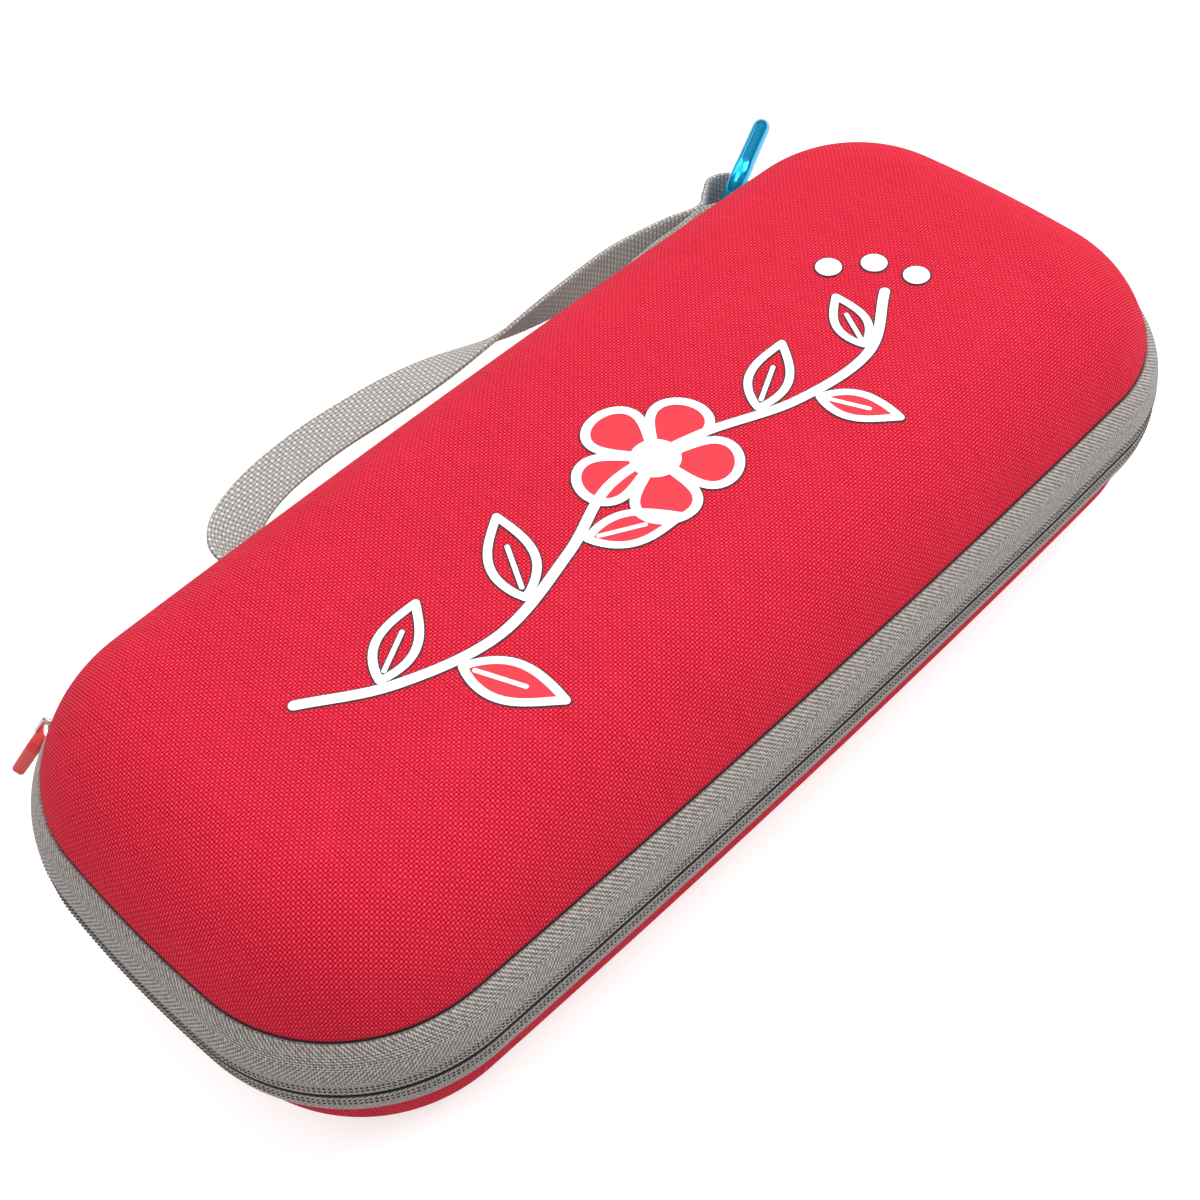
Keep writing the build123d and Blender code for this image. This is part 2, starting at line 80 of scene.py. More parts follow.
class CaseOutline(bpy.types.PropertyGroup):
    corner: length("Corner radius", "Plan radius of the corners at the zip", 41.1)
    side: length("Side bow", "Plan radius of the long sides", 3490)
    end: length("End bow", "Plan radius of the short ends", 348)
    long: length("Length", "Length at the zip", 285)
    wide: length("Width", "Width at the zip", 125.7)
    zip_height: length("Zip height", "Height of the zip line", 32.8)
    height: length("Height", "Height of the closed case", 67.6)


class CaseWall(bpy.types.PropertyGroup):
    tape: length("Tape", "Thickness of the zip tape", 0.9)
    cover: length("Cover", "Thickness of the outer cloth", 0.9)
    foam: length("Foam", "Thickness of the foam", 3.2)
    lining: length("Lining", "Thickness of the lining", 0.6)
    bond: length("Bond", "Glue line between layers", 0.05)
    crease: length("Crease", "Open crease between tape and cover", 0.4)
    gap: length("Tape gap", "Slot between the two tapes", 1.1)
    rim: length("Rim", "Distance from the zip line to the foam's rim", 5.0)


class CaseColours(bpy.types.PropertyGroup):
    cloth: colour("Cloth", "Red of the cover", (0.76, 0.0085, 0.034))
    # Painted highlight on the raised threads of the cover, and its lighter slub streaks.
    cloth_highlight_and_slub: colour("Cloth light", "Raised threads of the cover", (1.0, 0.062, 0.125))
    # Painted shade in the hollows of the cover, and its darker slub streaks and patches.
    cloth_shade_and_slub: colour("Cloth dark", "Hollows of the cover", (0.19, 0.0, 0.004))
    tape: colour("Tape", "Grey of the zip tape", (0.175, 0.153, 0.142))
    # Painted highlight on the raised ribs of the tape, and its lighter slub streaks.
    tape_highlight_and_slub: colour("Tape light", "Raised threads of the tape", (0.60, 0.55, 0.51))
    webbing: colour("Webbing", "Grey of the strap", (0.40, 0.375, 0.35))
    # Painted highlight on the raised threads of the strap, and its lighter slub streaks.
    webbing_highlight_and_slub: colour("Webbing light", "Raised threads of the strap", (0.72, 0.69, 0.66))
    print_white: colour("Print white", "White ink", (0.90, 0.88, 0.95))
    print_line: colour("Print line", "Dark edge of the print", (0.055, 0.012, 0.016))
    print_red: colour("Print red", "Red ink", (0.66, 0.02, 0.04))
    clip: colour("Clip", "Anodised blue", (0.01, 0.56, 1.0))


class CaseView(bpy.types.PropertyGroup):
    place: bpy.props.FloatVectorProperty(
        name="Camera place", description="Where the camera stands", unit="LENGTH",
        default=(-0.18936, -0.19817, 0.35357))
    heading: angle("Heading", "Direction of sight from +X", 48.262)
    dip: angle("Dip", "Sight below level", 50.523)
    roll: angle("Roll", "Turn about the line of sight", -4.85)
    lens: bpy.props.FloatProperty(name="Lens", description="Focal length, mm", default=55.66)


SETTINGS = {
    "case_outline": CaseOutline,
    "case_wall": CaseWall,
    "case_colours": CaseColours,
    "case_view": CaseView,
}


def setting(name):
    """One of the scene's groups of settings."""
    return getattr(bpy.context.scene, name)


# ---- outline and wall --------------------------------------------------------------------
class Outline:
    """Plan outline at the zip: points, outward normals and distance along it."""

    def __init__(self):
        o = setting("case_outline")
        self.corner = o.corner
        self.side_y = o.wide / 2 - o.side
        self.end_x = o.long / 2 - o.end
        dx, dy = self.end_x, -self.side_y
        span = sqrt(dx * dx + dy * dy)
        a, b = o.side - o.corner, o.end - o.corner
        along = (a * a - b * b + span * span) / (2 * span)
        across = sqrt(a * a - along * along)
        self.cx = dx / span * along + dy / span * across
        self.cy = self.side_y + dy / span * along - dx / span * across
        end = atan2(self.cy, self.cx - self.end_x)
        side = atan2(self.cy - self.side_y, self.cx)
        turn = side - end
        self.arcs = [
            (0, self.side_y, o.side, pi / 2, pi / 2 - side),
            (-self.cx, self.cy, o.corner, pi - side, turn),
            (-self.end_x, 0, o.end, pi - end, 2 * end),
            (-self.cx, -self.cy, o.corner, pi + end, turn),
            (0, -self.side_y, o.side, pi + side, pi - 2 * side),
            (self.cx, -self.cy, o.corner, 2 * pi - side, turn),
            (self.end_x, 0, o.end, -end, 2 * end),
            (self.cx, self.cy, o.corner, end, turn),
            (0, self.side_y, o.side, side, pi / 2 - side),
        ]
        self.length = sum(r * t for _, _, r, _, t in self.arcs)

    def at(self, distance, inset=0.0):
        """Point, outward normal at a distance along the outline from the spine's middle."""
        distance = distance % self.length
        for x, y, r, start, turn in self.arcs:
            if distance <= r * turn:
                t = start + distance / r
                n = Vector((cos(t), sin(t), 0))
                return Vector((x, y, 0)) + n * (r - inset), n
            distance -= r * turn
        return self.at(0, inset)

    def stations(self, step_side=2.5 * MM, step_corner=1.2 * MM):
        """Distances along the outline, closer together round the corners."""
        places, passed = [], 0.0
        for _, _, r, _, turn in self.arcs:
            step = step_corner if abs(r - self.corner) < 1e-9 else step_side
            count = max(2, ceil(r * turn / step))
            places += [passed + r * turn * i / count for i in range(count)]
            passed += r * turn
        return places


class Half:
    """Section of a half shell; u is inwards from the outline, h away from the zip line."""

    def __init__(self, sign):
        o = setting("case_outline")
        self.sign = sign
        self.zip = o.zip_height
        if sign > 0:
            self.top, self.band, self.inset = o.height - o.zip_height, 13.3 * MM, 3.7 * MM
            self.straight, self.slope, self.shoulder = 4.0 * MM, radians(22), 28.8 * MM
        else:
            self.top, self.band, self.inset = o.zip_height, 10.9 * MM, 3.0 * MM
            self.straight, self.slope, self.shoulder = 3.0 * MM, radians(12), 17.7 * MM
        rise = self.band - self.straight
        self.band_r = (rise * rise + self.inset * self.inset) / (2 * self.inset)
        self.band_turn = asin(rise / self.band_r)
        self.wall = (self.top - self.band) / cos(self.slope) - self.shoulder * tan((pi / 2 - self.slope) / 2)
        u = self.inset + self.wall * sin(self.slope)
        h = self.band + self.wall * cos(self.slope)
        self.centre = (u + self.shoulder * cos(self.slope), h - self.shoulder * sin(self.slope))

    def on_band(self, offset, height):
        """Turn round the band's arc at a height away from the zip line."""
        return asin(max(height - self.straight, 0) / (self.band_r - offset))

    def band_line(self, offset, start, stop=None, steps=10):
        """Section of the band, offset into the wall, from start to the crease or to stop."""
        r = self.band_r
        first = self.on_band(offset, start)
        last = self.band_turn if stop is None else self.on_band(offset, stop)
        points = []
        if start < self.straight:
            count = 3
            points = [(offset, start + (self.straight - start) * i / count) for i in range(count)]
        for i in range(steps + 1):
            t = first + (last - first) * i / steps
            points.append((r - (r - offset) * cos(t), self.straight + (r - offset) * sin(t)))
        return points

    def dome_line(self, offset, start=0.0, steps=26):
        """Section from the crease up the wall and round the shoulder, offset into the wall."""
        du, dh, nu, nh = sin(self.slope), cos(self.slope), cos(self.slope), -sin(self.slope)
        points = []
        for i in range(3):
            w = start + (self.wall - start) * i / 3
            points.append((self.inset + du * w + nu * offset, self.band + dh * w + nh * offset))
        cu, ch = self.centre
        r = self.shoulder - offset
        for i in range(steps + 1):
            t = self.slope + (pi / 2 - self.slope) * i / steps
            points.append((cu - r * cos(t), ch + r * sin(t)))
        return points

    def wall_u(self, h, offset):
        """Distance inwards of the sloping wall at height h."""
        return self.inset + (h - self.band) * tan(self.slope) + offset / cos(self.slope)


# ---- mesh helpers ------------------------------------------------------------------------
def linked(name, data):
    """A new object in the scene."""
    obj = bpy.data.objects.new(name, data)
    bpy.context.scene.collection.objects.link(obj)
    return obj


def mesh_object(name, verts, faces, uvs=None, smooth=True):
    """A mesh object; uvs is one pair for each vertex."""
    mesh = bpy.data.meshes.new(name)
    mesh.from_pydata([tuple(v) for v in verts], [], faces)
    if uvs:
        layer = mesh.uv_layers.new(name="UVMap")
        for loop in mesh.loops:
            layer.data[loop.index].uv = uvs[loop.vertex_index]
    mesh.shade_smooth() if smooth else mesh.shade_flat()
    obj = linked(name, mesh)
    return obj


def settle(obj, recalc=True, merge=0.0):
    """Turn the object with its modifiers into a plain mesh with outward faces."""
    graph = bpy.context.evaluated_depsgraph_get()
    mesh = bpy.data.meshes.new_from_object(obj.evaluated_get(graph), depsgraph=graph)
    materials = list(mesh.materials)
    name = obj.name
    if merge or recalc:
        work = bmesh.new()
        work.from_mesh(mesh)
        if merge:
            bmesh.ops.remove_doubles(work, verts=work.verts, dist=merge)
        if recalc:
            bmesh.ops.recalc_face_normals(work, faces=work.faces)
        work.to_mesh(mesh)
        work.free()
    bpy.data.objects.remove(obj)
    mesh.name = name
    result = linked(name, mesh)
    if not mesh.materials:
        for material in materials:
            mesh.materials.append(material)
    return result


def finish(obj, material, body, slot, *nodes):
    """Material, body and the nodes that a piece stands for; slot is not used."""
    obj.data.materials.clear()
    obj.data.materials.append(material)
    if isinstance(body, str):
        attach(obj, body)
    if nodes:
        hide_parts(*nodes)
    return obj


def section_run(points):
    """Distance along a section line at each of its points."""
    run = [0.0]
    for (u0, h0), (u1, h1) in zip(points, points[1:]):
        run.append(run[-1] + sqrt((u1 - u0) ** 2 + (h1 - h0) ** 2))
    return run


def half_round(first, last, out, steps=4):
    """Points of a rounded edge between two lines, bulging by out from their first points."""
    (u0, h0), (u1, h1) = first, last
    mu, mh = (u0 + u1) / 2, (h0 + h1) / 2
    du, dh = (u0 - u1) / 2, (h0 - h1) / 2
    size = sqrt(du * du + dh * dh)
    nu, nh = -dh / size * out, du / size * out
    points = []
    for i in range(1, steps):
        t = pi * i / steps
        points.append((mu + du * cos(t) + nu * sin(t), mh + dh * cos(t) + nh * sin(t)))
    return points


def tube(name, rings, uvs):
    """Closed tube through rings of points, with both ends filled; uvs is one pair for each point."""
    count, last = len(rings[0]), (len(rings) - 1) * len(rings[0])
    faces = []
    for start in range(0, last, count):
        for k in range(count):
            m = (k + 1) % count
            faces.append((start + k, start + m, start + count + m, start + count + k))
    faces.append(list(range(count))[::-1])
    faces.append([last + k for k in range(count)])
    verts = [p for ring in rings for p in ring]
    return settle(mesh_object(name, verts, faces, uvs))


class Sweep:
    """Collects a mesh made of section lines carried along the outline."""

    def __init__(self, half, places=None):
        self.half = half
        self.outline = Outline()
        self.ring = places is None
        self.places = places or self.outline.stations()
        self.frames = [self.outline.at(s) for s in self.places]
        self.verts, self.uvs, self.faces = [], [], []

    def row(self, u, h, uv):
        """One row of points round the outline; uv gives the pair for a place and its frame."""
        start = len(self.verts)
        for (point, normal), s in zip(self.frames, self.places):
            p = point - normal * u
            self.verts.append((p.x, p.y, self.half.zip + self.half.sign * h))
            self.uvs.append(uv(s, point, normal))
        return start

    def join(self, a, b):
        """Quads between two rows, outward when b is nearer the middle of the shell's top."""
        count = len(self.places)
        for i in range(count if self.ring else count - 1):
            j = (i + 1) % count
            self.faces.append((a + i, a + j, b + j, b + i))

    def lines(self, line, flat=False):
        """Rows along a section line; flat gives the UV of the cloth laid out from the top."""
        run = section_run(line)
        rows = []
        for (u, h), along in zip(line, run):
            if flat:
                back = line[-1][0] - (run[-1] - along)
                rows.append(self.row(u, h, lambda s, p, n: tuple((p - n * back).xy)))
            else:
                rows.append(self.row(u, h, lambda s, p, n: (s, along)))
        for a, b in zip(rows, rows[1:]):
            self.join(a, b)
        return rows

    def cap(self, last, steps=10):
        """Fill the flat inside a row, down to the middle line."""
        count = len(self.places)
        middle = self.outline.cx * 0.95
        rim = [Vector(self.verts[last + i]) for i in range(count)]
        before = last
        for step in range(1, steps + 1):
            start = len(self.verts)
            for p in rim:
                q = p.lerp(Vector((max(-middle, min(middle, p.x)), 0, p.z)), step / steps)
                self.verts.append(tuple(q))
                self.uvs.append((q.x, q.y))
            self.join(before, start)
            before = start

    def ends(self, rows):
        """Close both ends of an open sweep whose rows go once round the section."""
        count = len(self.places)
        self.faces.append(rows[::-1])
        self.faces.append([r + count - 1 for r in rows])

    def make(self, name, bevel=0.0):
        obj = mesh_object(name, self.verts, self.faces, self.uvs)
        if bevel:
            edge = obj.modifiers.new("Edge", "BEVEL")
            edge.width = bevel
            edge.segments = 2
            edge.limit_method = "ANGLE"
            edge.angle_limit = radians(50)
        return settle(obj, merge=0.004 * MM)


def shell(name, half, outer, inner, edge_out):
    """Closed shell between two section lines that both run from the rim to the flat top."""
    s = Sweep(half)
    inner_rows = s.lines(inner, flat=True)
    s.cap(inner_rows[-1])
    outer_rows = s.lines(outer, flat=True)
    s.cap(outer_rows[-1])
    before = inner_rows[0]
    for u, h in half_round(inner[0], outer[0], edge_out):
        now = s.row(u, h, lambda d, p, n: tuple((p - n * u).xy))
        s.join(before, now)
        before = now
    s.join(before, outer_rows[0])
    return s.make(name)


def loop_sweep(name, half, loop, places=None, bevel=0.0):
    """Closed section carried round the outline, or along the given places."""
    s = Sweep(half, places)
    run = section_run(loop)
    rows = []
    for (u, h), along in zip(loop, run):
        rows.append(s.row(u, h, lambda d, p, n: (d, along)))
    for a, b in zip(rows, rows[1:] + rows[:1]):
        s.join(a, b)
    if not s.ring:
        s.ends(rows)
    return s.make(name, bevel)


# ---- shader helpers ----------------------------------------------------------------------
class Nodes:
    """Short way to add and join nodes in a tree."""

    def __init__(self, tree):
        self.tree = tree

    def add(self, kind, inputs=None, **values):
        node = self.tree.nodes.new(kind)
        for key, value in values.items():
            setattr(node, key, value)
        for key, value in (inputs or {}).items():
            self.put(node.inputs[key], value)
        return node

    def put(self, socket, value):
        if isinstance(value, bpy.types.NodeSocket):
            self.tree.links.new(value, socket)
        elif isinstance(value, bpy.types.Node):
            self.tree.links.new(value.outputs[0], socket)
        else:
            socket.default_value = value

    def math(self, operation, a, b=0.0, c=0.0, clamp=False):
        node = self.add("ShaderNodeMath", operation=operation, use_clamp=clamp)
        for i, value in enumerate((a, b, c)):
            self.put(node.inputs[i], value)
        return node.outputs[0]

    def mix(self, factor, a, b):
        node = self.add("ShaderNodeMix", data_type="RGBA")
        self.put(node.inputs[0], factor)
        for i, value in ((6, a), (7, b)):
            if isinstance(value, (tuple, list)) and len(value) == 3:
                value = (*value, 1)
            self.put(node.inputs[i], value)
        return node.outputs[2]

    def noise(self, vector, scale, detail=2.0, rough=0.5):
        return self.add("ShaderNodeTexNoise", {
            "Vector": vector, "Scale": scale, "Detail": detail, "Roughness": rough}).outputs[0]


def group(name, inputs, outputs, build):
    """A shader node group, built once."""
    if name in bpy.data.node_groups:
        return bpy.data.node_groups[name]
    tree = bpy.data.node_groups.new(name, "ShaderNodeTree")
    for label, kind, default in inputs:
        socket = tree.interface.new_socket(label, in_out="INPUT", socket_type=kind)
        if default is not None:
            socket.default_value = default
    for label, kind in outputs:
        tree.interface.new_socket(label, in_out="OUTPUT", socket_type=kind)
    n = Nodes(tree)
    source = n.add("NodeGroupInput")
    drain = n.add("NodeGroupOutput")
    results = build(n, source.outputs)
    for label, value in results.items():
        n.put(drain.inputs[label], value)
    return tree


FLOAT, VECTOR = "NodeSocketFloat", "NodeSocketVector"


def weave_group():
    """Plain weave: two sets of round threads that pass over and under each other."""
    def build(n, given):
        split = n.add("ShaderNodeSeparateXYZ", {0: given["Vector"]})
        x = n.math("DIVIDE", split.outputs[0], given["Warp pitch"])
        y = n.math("DIVIDE", split.outputs[1], given["Weft pitch"])

        def thread(across, along):
            place = n.math("FRACT", across)
            centred = n.math("MULTIPLY_ADD", place, 2.0, -1.0)
            body = n.math("SUBTRACT", 1.0, n.math("MULTIPLY", centred, centred))
            index = n.math("FLOOR", across)
            phase = n.math("ADD", n.math("SUBTRACT", along, 0.5), index)
            wave = n.math("COSINE", n.math("MULTIPLY", phase, pi))
            return body, n.math("MULTIPLY_ADD", wave, 0.5, 0.5)

        warp, warp_up = thread(x, y)
        shifted = n.math("ADD", x, 1.0)
        weft, weft_up = thread(y, shifted)
        warp_height = n.math("MULTIPLY", warp, warp_up)
        weft_height = n.math("MULTIPLY", weft, weft_up)
        height = n.math("MAXIMUM", warp_height, weft_height)
        over = n.math("GREATER_THAN", weft_height, warp_height)
        return {"Height": height, "Weft": over}
    return group(
        "Weave",
        [("Vector", VECTOR, None), ("Warp pitch", FLOAT, 0.0008), ("Weft pitch", FLOAT, 0.0008)],
        [("Height", FLOAT), ("Weft", FLOAT)], build)


def slub_group():
    """Faint uneven threads along one direction, and broad soft patches."""
    def build(n, given):
        stretch = n.add(
            "ShaderNodeVectorMath", {0: given["Vector"], 1: given["Stretch"]}, operation="MULTIPLY")
        fine = n.noise(stretch, 1.0, 3.0, 0.6)
        broad = n.noise(given["Vector"], 38.0, 2.0, 0.5)
        return {"Streak": fine, "Patch": broad}
    return group(
        "Slub", [("Vector", VECTOR, None), ("Stretch", VECTOR, (1500.0, 60.0, 1.0))],
        [("Streak", FLOAT), ("Patch", FLOAT)], build)


def twill_group():
    """Herringbone: slanting ribs that change direction from band to band."""
    def build(n, given):
        split = n.add("ShaderNodeSeparateXYZ", {0: given["Vector"]})
        band = n.math("DIVIDE", split.outputs[1], given["Band"])
        zigzag = n.math("PINGPONG", band, 1.0)
        slant = n.math("MULTIPLY", zigzag, n.math("DIVIDE", given["Band"], given["Pitch"]))
        phase = n.math("ADD", n.math("DIVIDE", split.outputs[0], given["Pitch"]), slant)
        rib = n.math("MULTIPLY_ADD", n.math("COSINE", n.math("MULTIPLY", phase, 2 * pi)), 0.5, 0.5)
        pick = n.math("DIVIDE", split.outputs[1], n.math("MULTIPLY", given["Pitch"], 0.55))
        cross = n.math("MULTIPLY_ADD", n.math("COSINE", n.math("MULTIPLY", pick, 2 * pi)), 0.5, 0.5)
        height = n.math("MULTIPLY_ADD", cross, 0.35, n.math("MULTIPLY", rib, 0.65))
        return {"Height": height, "Rib": rib}
    return group(
        "Herringbone",
        [("Vector", VECTOR, None), ("Pitch", FLOAT, 0.001), ("Band", FLOAT, 0.0022)],
        [("Height", FLOAT), ("Rib", FLOAT)], build)


def wear_group():
    """Fine scuffs and dust for hard parts."""
    def build(n, given):
        grain = n.noise(given["Vector"], given["Scale"], 6.0, 0.65)
        scuff = n.math("POWER", grain, 3.0)
        return {"Scuff": scuff, "Grain": grain}
    return group(
        "Wear", [("Vector", VECTOR, None), ("Scale", FLOAT, 600.0)],
        [("Scuff", FLOAT), ("Grain", FLOAT)], build)


def new_material(name):
    """A material with its node helper and its shader."""
    material = bpy.data.materials.new(name)
    material.use_nodes = True
    tree = material.node_tree
    shader = tree.nodes["Principled BSDF"]
    return material, Nodes(tree), shader


def use_group(n, tree, **inputs):
    """Place a node group; an underscore in a name stands for a space in the socket's."""
    node = n.add("ShaderNodeGroup", node_tree=tree)
    for key, value in inputs.items():
        n.put(node.inputs[key.replace("_", " ")], value)
    return node


def bump(n, shader, height, distance, strength=1.0):
    """Relief of the surface by height, at most distance deep."""
    node = n.add("ShaderNodeBump", {"Height": height, "Distance": distance, "Strength": strength})
    n.put(shader.inputs["Normal"], node.outputs[0])


def uv_vector(n):
    return n.add("ShaderNodeUVMap", uv_map="UVMap").outputs[0]


def object_vector(n):
    return n.add("ShaderNodeTexCoord").outputs["Object"]


def woven(name, dark, base, light, warp, weft, depth, stretch, roughness=0.8, sheen=0.0, streak=0.35):
    """Plain-woven cloth on the UV laid flat in metres, with painted shade in the hollows and painted
    highlight on the raised threads.
    """
    material, n, shader = new_material(name)
    vector = uv_vector(n)
    wobble = n.noise(vector, 220.0, 2.0)
    shift = n.math("MULTIPLY_ADD", wobble, warp * 0.7, -warp * 0.35)
    bent = n.add("ShaderNodeVectorMath", {0: vector}, operation="ADD")
    combined = n.add("ShaderNodeCombineXYZ", {0: shift, 1: shift})
    n.put(bent.inputs[1], combined.outputs[0])
    cloth = use_group(n, weave_group(), Vector=bent.outputs[0], Warp_pitch=warp, Weft_pitch=weft)
    slub = use_group(n, slub_group(), Vector=vector, Stretch=stretch)
    tone = n.math("MULTIPLY_ADD", slub.outputs["Streak"], streak, cloth.outputs["Height"])
    tone = n.math("SUBTRACT", tone, streak * 0.5)
    # Painted shade: the hollows of the weave, and the darker slub streaks, go towards the dark colour.
    low = n.mix(n.math("MULTIPLY_ADD", tone, 2.1, -0.3, clamp=True), dark, base)
    # Painted highlight: the raised threads, the weft more than the warp, go towards the light colour.
    lift = n.math("MULTIPLY", n.math("MULTIPLY_ADD", tone, 2.8, -1.35, clamp=True),
                  n.math("MULTIPLY_ADD", cloth.outputs["Weft"], 0.75, 0.25))
    high = n.mix(lift, low, light)
    # Broad soft patches of random darker tone also go towards the dark colour.
    patch = n.math("MULTIPLY_ADD", slub.outputs["Patch"], 0.18, -0.04, clamp=True)
    n.put(shader.inputs["Base Color"], n.mix(patch, high, dark))
    shader.inputs["Roughness"].default_value = roughness
    shader.inputs["Sheen Weight"].default_value = sheen
    shader.inputs["Sheen Roughness"].default_value = 0.45
    shader.inputs["Sheen Tint"].default_value = (*light, 1)
    shader.inputs["Specular IOR Level"].default_value = 0.14
    bump(n, shader, n.math("MULTIPLY_ADD", slub.outputs["Streak"], 0.25, cloth.outputs["Height"]), depth)
    return material


def twilled(name, base, light, pitch, band, depth):
    """Herringbone tape, with painted shade in the hollows, painted highlight on the raised ribs and painted
    shade in the slot along the zip line.
    """
    material, n, shader = new_material(name)
    vector = uv_vector(n)
    twill = use_group(n, twill_group(), Vector=vector, Pitch=pitch, Band=band)
    slub = use_group(n, slub_group(), Vector=vector, Stretch=(900.0, 900.0, 1.0))
    cloth = use_group(n, weave_group(), Vector=vector, Warp_pitch=pitch * 0.5, Weft_pitch=pitch * 0.5)
    ribs = n.math("MULTIPLY", twill.outputs["Height"], 0.5)
    relief = n.math("MULTIPLY_ADD", cloth.outputs["Height"], 0.5, ribs)
    tone = n.math("MULTIPLY_ADD", slub.outputs["Streak"], 0.5, n.math("MULTIPLY", relief, 0.9))
    # Painted shade: the hollows of the herringbone, and the darker slub streaks, go towards this darkened
    # grey.
    dark = tuple(c * 0.2 for c in base)
    first = n.mix(n.math("MULTIPLY_ADD", tone, 2.2, -0.55, clamp=True), dark, base)
    # Painted highlight: the raised ribs and threads, and the lighter slub streaks, go towards the light
    # colour.
    second = n.mix(n.math("MULTIPLY_ADD", tone, 3.2, -2.1, clamp=True), first, light)
    # Painted shade: along the slot between the two tapes, within 0.55 mm of the zip line, the tape goes
    # nearly black, fading out by 0.8 mm.
    height = n.add("ShaderNodeSeparateXYZ", {0: object_vector(n)}).outputs[2]
    away = n.math("ABSOLUTE", n.math("SUBTRACT", height, setting("case_outline").zip_height))
    edge = n.math("MULTIPLY_ADD", away, -4000.0, 3.2, clamp=True)
    n.put(shader.inputs["Base Color"], n.mix(edge, second, (0.004, 0.004, 0.004)))
    shader.inputs["Roughness"].default_value = 0.7
    shader.inputs["Sheen Weight"].default_value = 0.15
    shader.inputs["Specular IOR Level"].default_value = 0.35
    bump(n, shader, relief, depth)
    return material


def metal(name, base, roughness, metallic=1.0, coat=0.0, scale=600.0):
    """Polished metal with faint scuffs."""
    material, n, shader = new_material(name)
    wear = use_group(n, wear_group(), Vector=object_vector(n), Scale=scale)
    dull = tuple(c * 0.8 for c in base)
    n.put(shader.inputs["Base Color"], n.mix(wear.outputs["Scuff"], base, dull))
    n.put(shader.inputs["Roughness"], n.math("MULTIPLY_ADD", wear.outputs["Scuff"], 0.25, roughness))
    shader.inputs["Metallic"].default_value = metallic
    shader.inputs["Coat Weight"].default_value = coat
    shader.inputs["Coat Roughness"].default_value = 0.05
    bump(n, shader, wear.outputs["Grain"], 0.01 * MM)
    return material


def plastic(name, base, roughness, grain=0.02 * MM, scale=900.0):
    """Moulded or painted finish with a fine grain."""
    material, n, shader = new_material(name)
    wear = use_group(n, wear_group(), Vector=object_vector(n), Scale=scale)
    pale = tuple(min(1.0, c * 1.25 + 0.01) for c in base)
    n.put(shader.inputs["Base Color"], n.mix(wear.outputs["Scuff"], base, pale))
    n.put(shader.inputs["Roughness"], n.math("MULTIPLY_ADD", wear.outputs["Grain"], 0.2, roughness))
    bump(n, shader, wear.outputs["Grain"], grain)
    return material


def brushed_knit(name, base):
    """Short-pile lining: fine fibres with a soft bloom."""
    material, n, shader = new_material(name)
    vector = object_vector(n)
    fibre = n.noise(vector, 2600.0, 4.0, 0.7)
    patch = n.noise(vector, 90.0, 3.0, 0.6)
    pale = tuple(c * 2.2 for c in base)
    tone = n.math("MULTIPLY_ADD", patch, 0.4, n.math("MULTIPLY", fibre, 0.6))
    n.put(shader.inputs["Base Color"], n.mix(tone, base, pale))
    shader.inputs["Roughness"].default_value = 0.95
    shader.inputs["Sheen Weight"].default_value = 0.5
    bump(n, shader, fibre, 0.12 * MM)
    return material


@cache
def material(name):
    """The named material of the case, made on first use."""
    c = setting("case_colours")
    makers = {
        # In each woven look the first colour is painted shade in the hollows, with the darker slub streaks
        # and patches, and the last is painted highlight on the raised threads.
        "cover_cloth": lambda: woven(
            name, tuple(c.cloth_shade_and_slub), tuple(c.cloth), tuple(c.cloth_highlight_and_slub),
            0.68 * MM, 0.68 * MM, 0.2 * MM, (2600.0, 90.0, 1.0)),
        "webbing": lambda: woven(
            # The strap's painted shade in the hollows is its grey darkened to 0.42.
            name, tuple(v * 0.42 for v in c.webbing), tuple(c.webbing), tuple(c.webbing_highlight_and_slub),
            0.9 * MM, 1.25 * MM, 0.2 * MM, (500.0, 500.0, 1.0), sheen=0.1, streak=0.25),
        "zip_tape": lambda: twilled(name, tuple(c.tape), tuple(c.tape_highlight_and_slub), 1.15 * MM, 4.6 * MM, 0.16 * MM),
        "lining": lambda: brushed_knit(name, (0.030, 0.030, 0.033)),
        "binding": lambda: woven(
            name, (0.006, 0.006, 0.006), (0.02, 0.02, 0.021), (0.06, 0.06, 0.065),
            0.5 * MM, 0.5 * MM, 0.08 * MM, (900.0, 900.0, 1.0), sheen=0.1),
        "elastic": lambda: woven(
            name, (0.006, 0.006, 0.007), (0.022, 0.022, 0.024), (0.07, 0.07, 0.075),
            0.6 * MM, 1.4 * MM, 0.18 * MM, (400.0, 900.0, 1.0), sheen=0.1),
        "foam": lambda: plastic(name, (0.03, 0.03, 0.032), 0.85, 0.1 * MM, 700.0),
        "coil": lambda: plastic(name, (0.012, 0.012, 0.013), 0.42),
        # Nearly black: painted shade of the needle holes in the tape's stitching.
        "stitch_hole_shade": lambda: plastic(name, (0.03, 0.027, 0.025), 0.9),
        "thread": lambda: plastic(name, (0.33, 0.31, 0.29), 0.8, 0.05 * MM, 2500.0),
        "net": lambda: plastic(name, (0.015, 0.015, 0.017), 0.75, 0.04 * MM, 2500.0),
        "slider_metal": lambda: metal(name, (0.74, 0.73, 0.71), 0.2),
        "grip": lambda: plastic(name, (0.72, 0.035, 0.03), 0.38),
        "clip": lambda: metal(name, tuple(c.clip), 0.12, metallic=0.85, coat=0.3, scale=300.0),
        "clip_gate": lambda: metal(name, (0.86, 0.87, 0.89), 0.16),
        "pin": lambda: metal(name, (0.62, 0.62, 0.63), 0.3),
        "print_white": lambda: plastic(name, tuple(c.print_white), 0.5, 0.01 * MM, 1500.0),
        "print_line": lambda: plastic(name, tuple(c.print_line), 0.55, 0.01 * MM, 1500.0),
        "print_red": lambda: plastic(name, tuple(c.print_red), 0.5, 0.01 * MM, 1500.0),
    }
    return makers[name]()


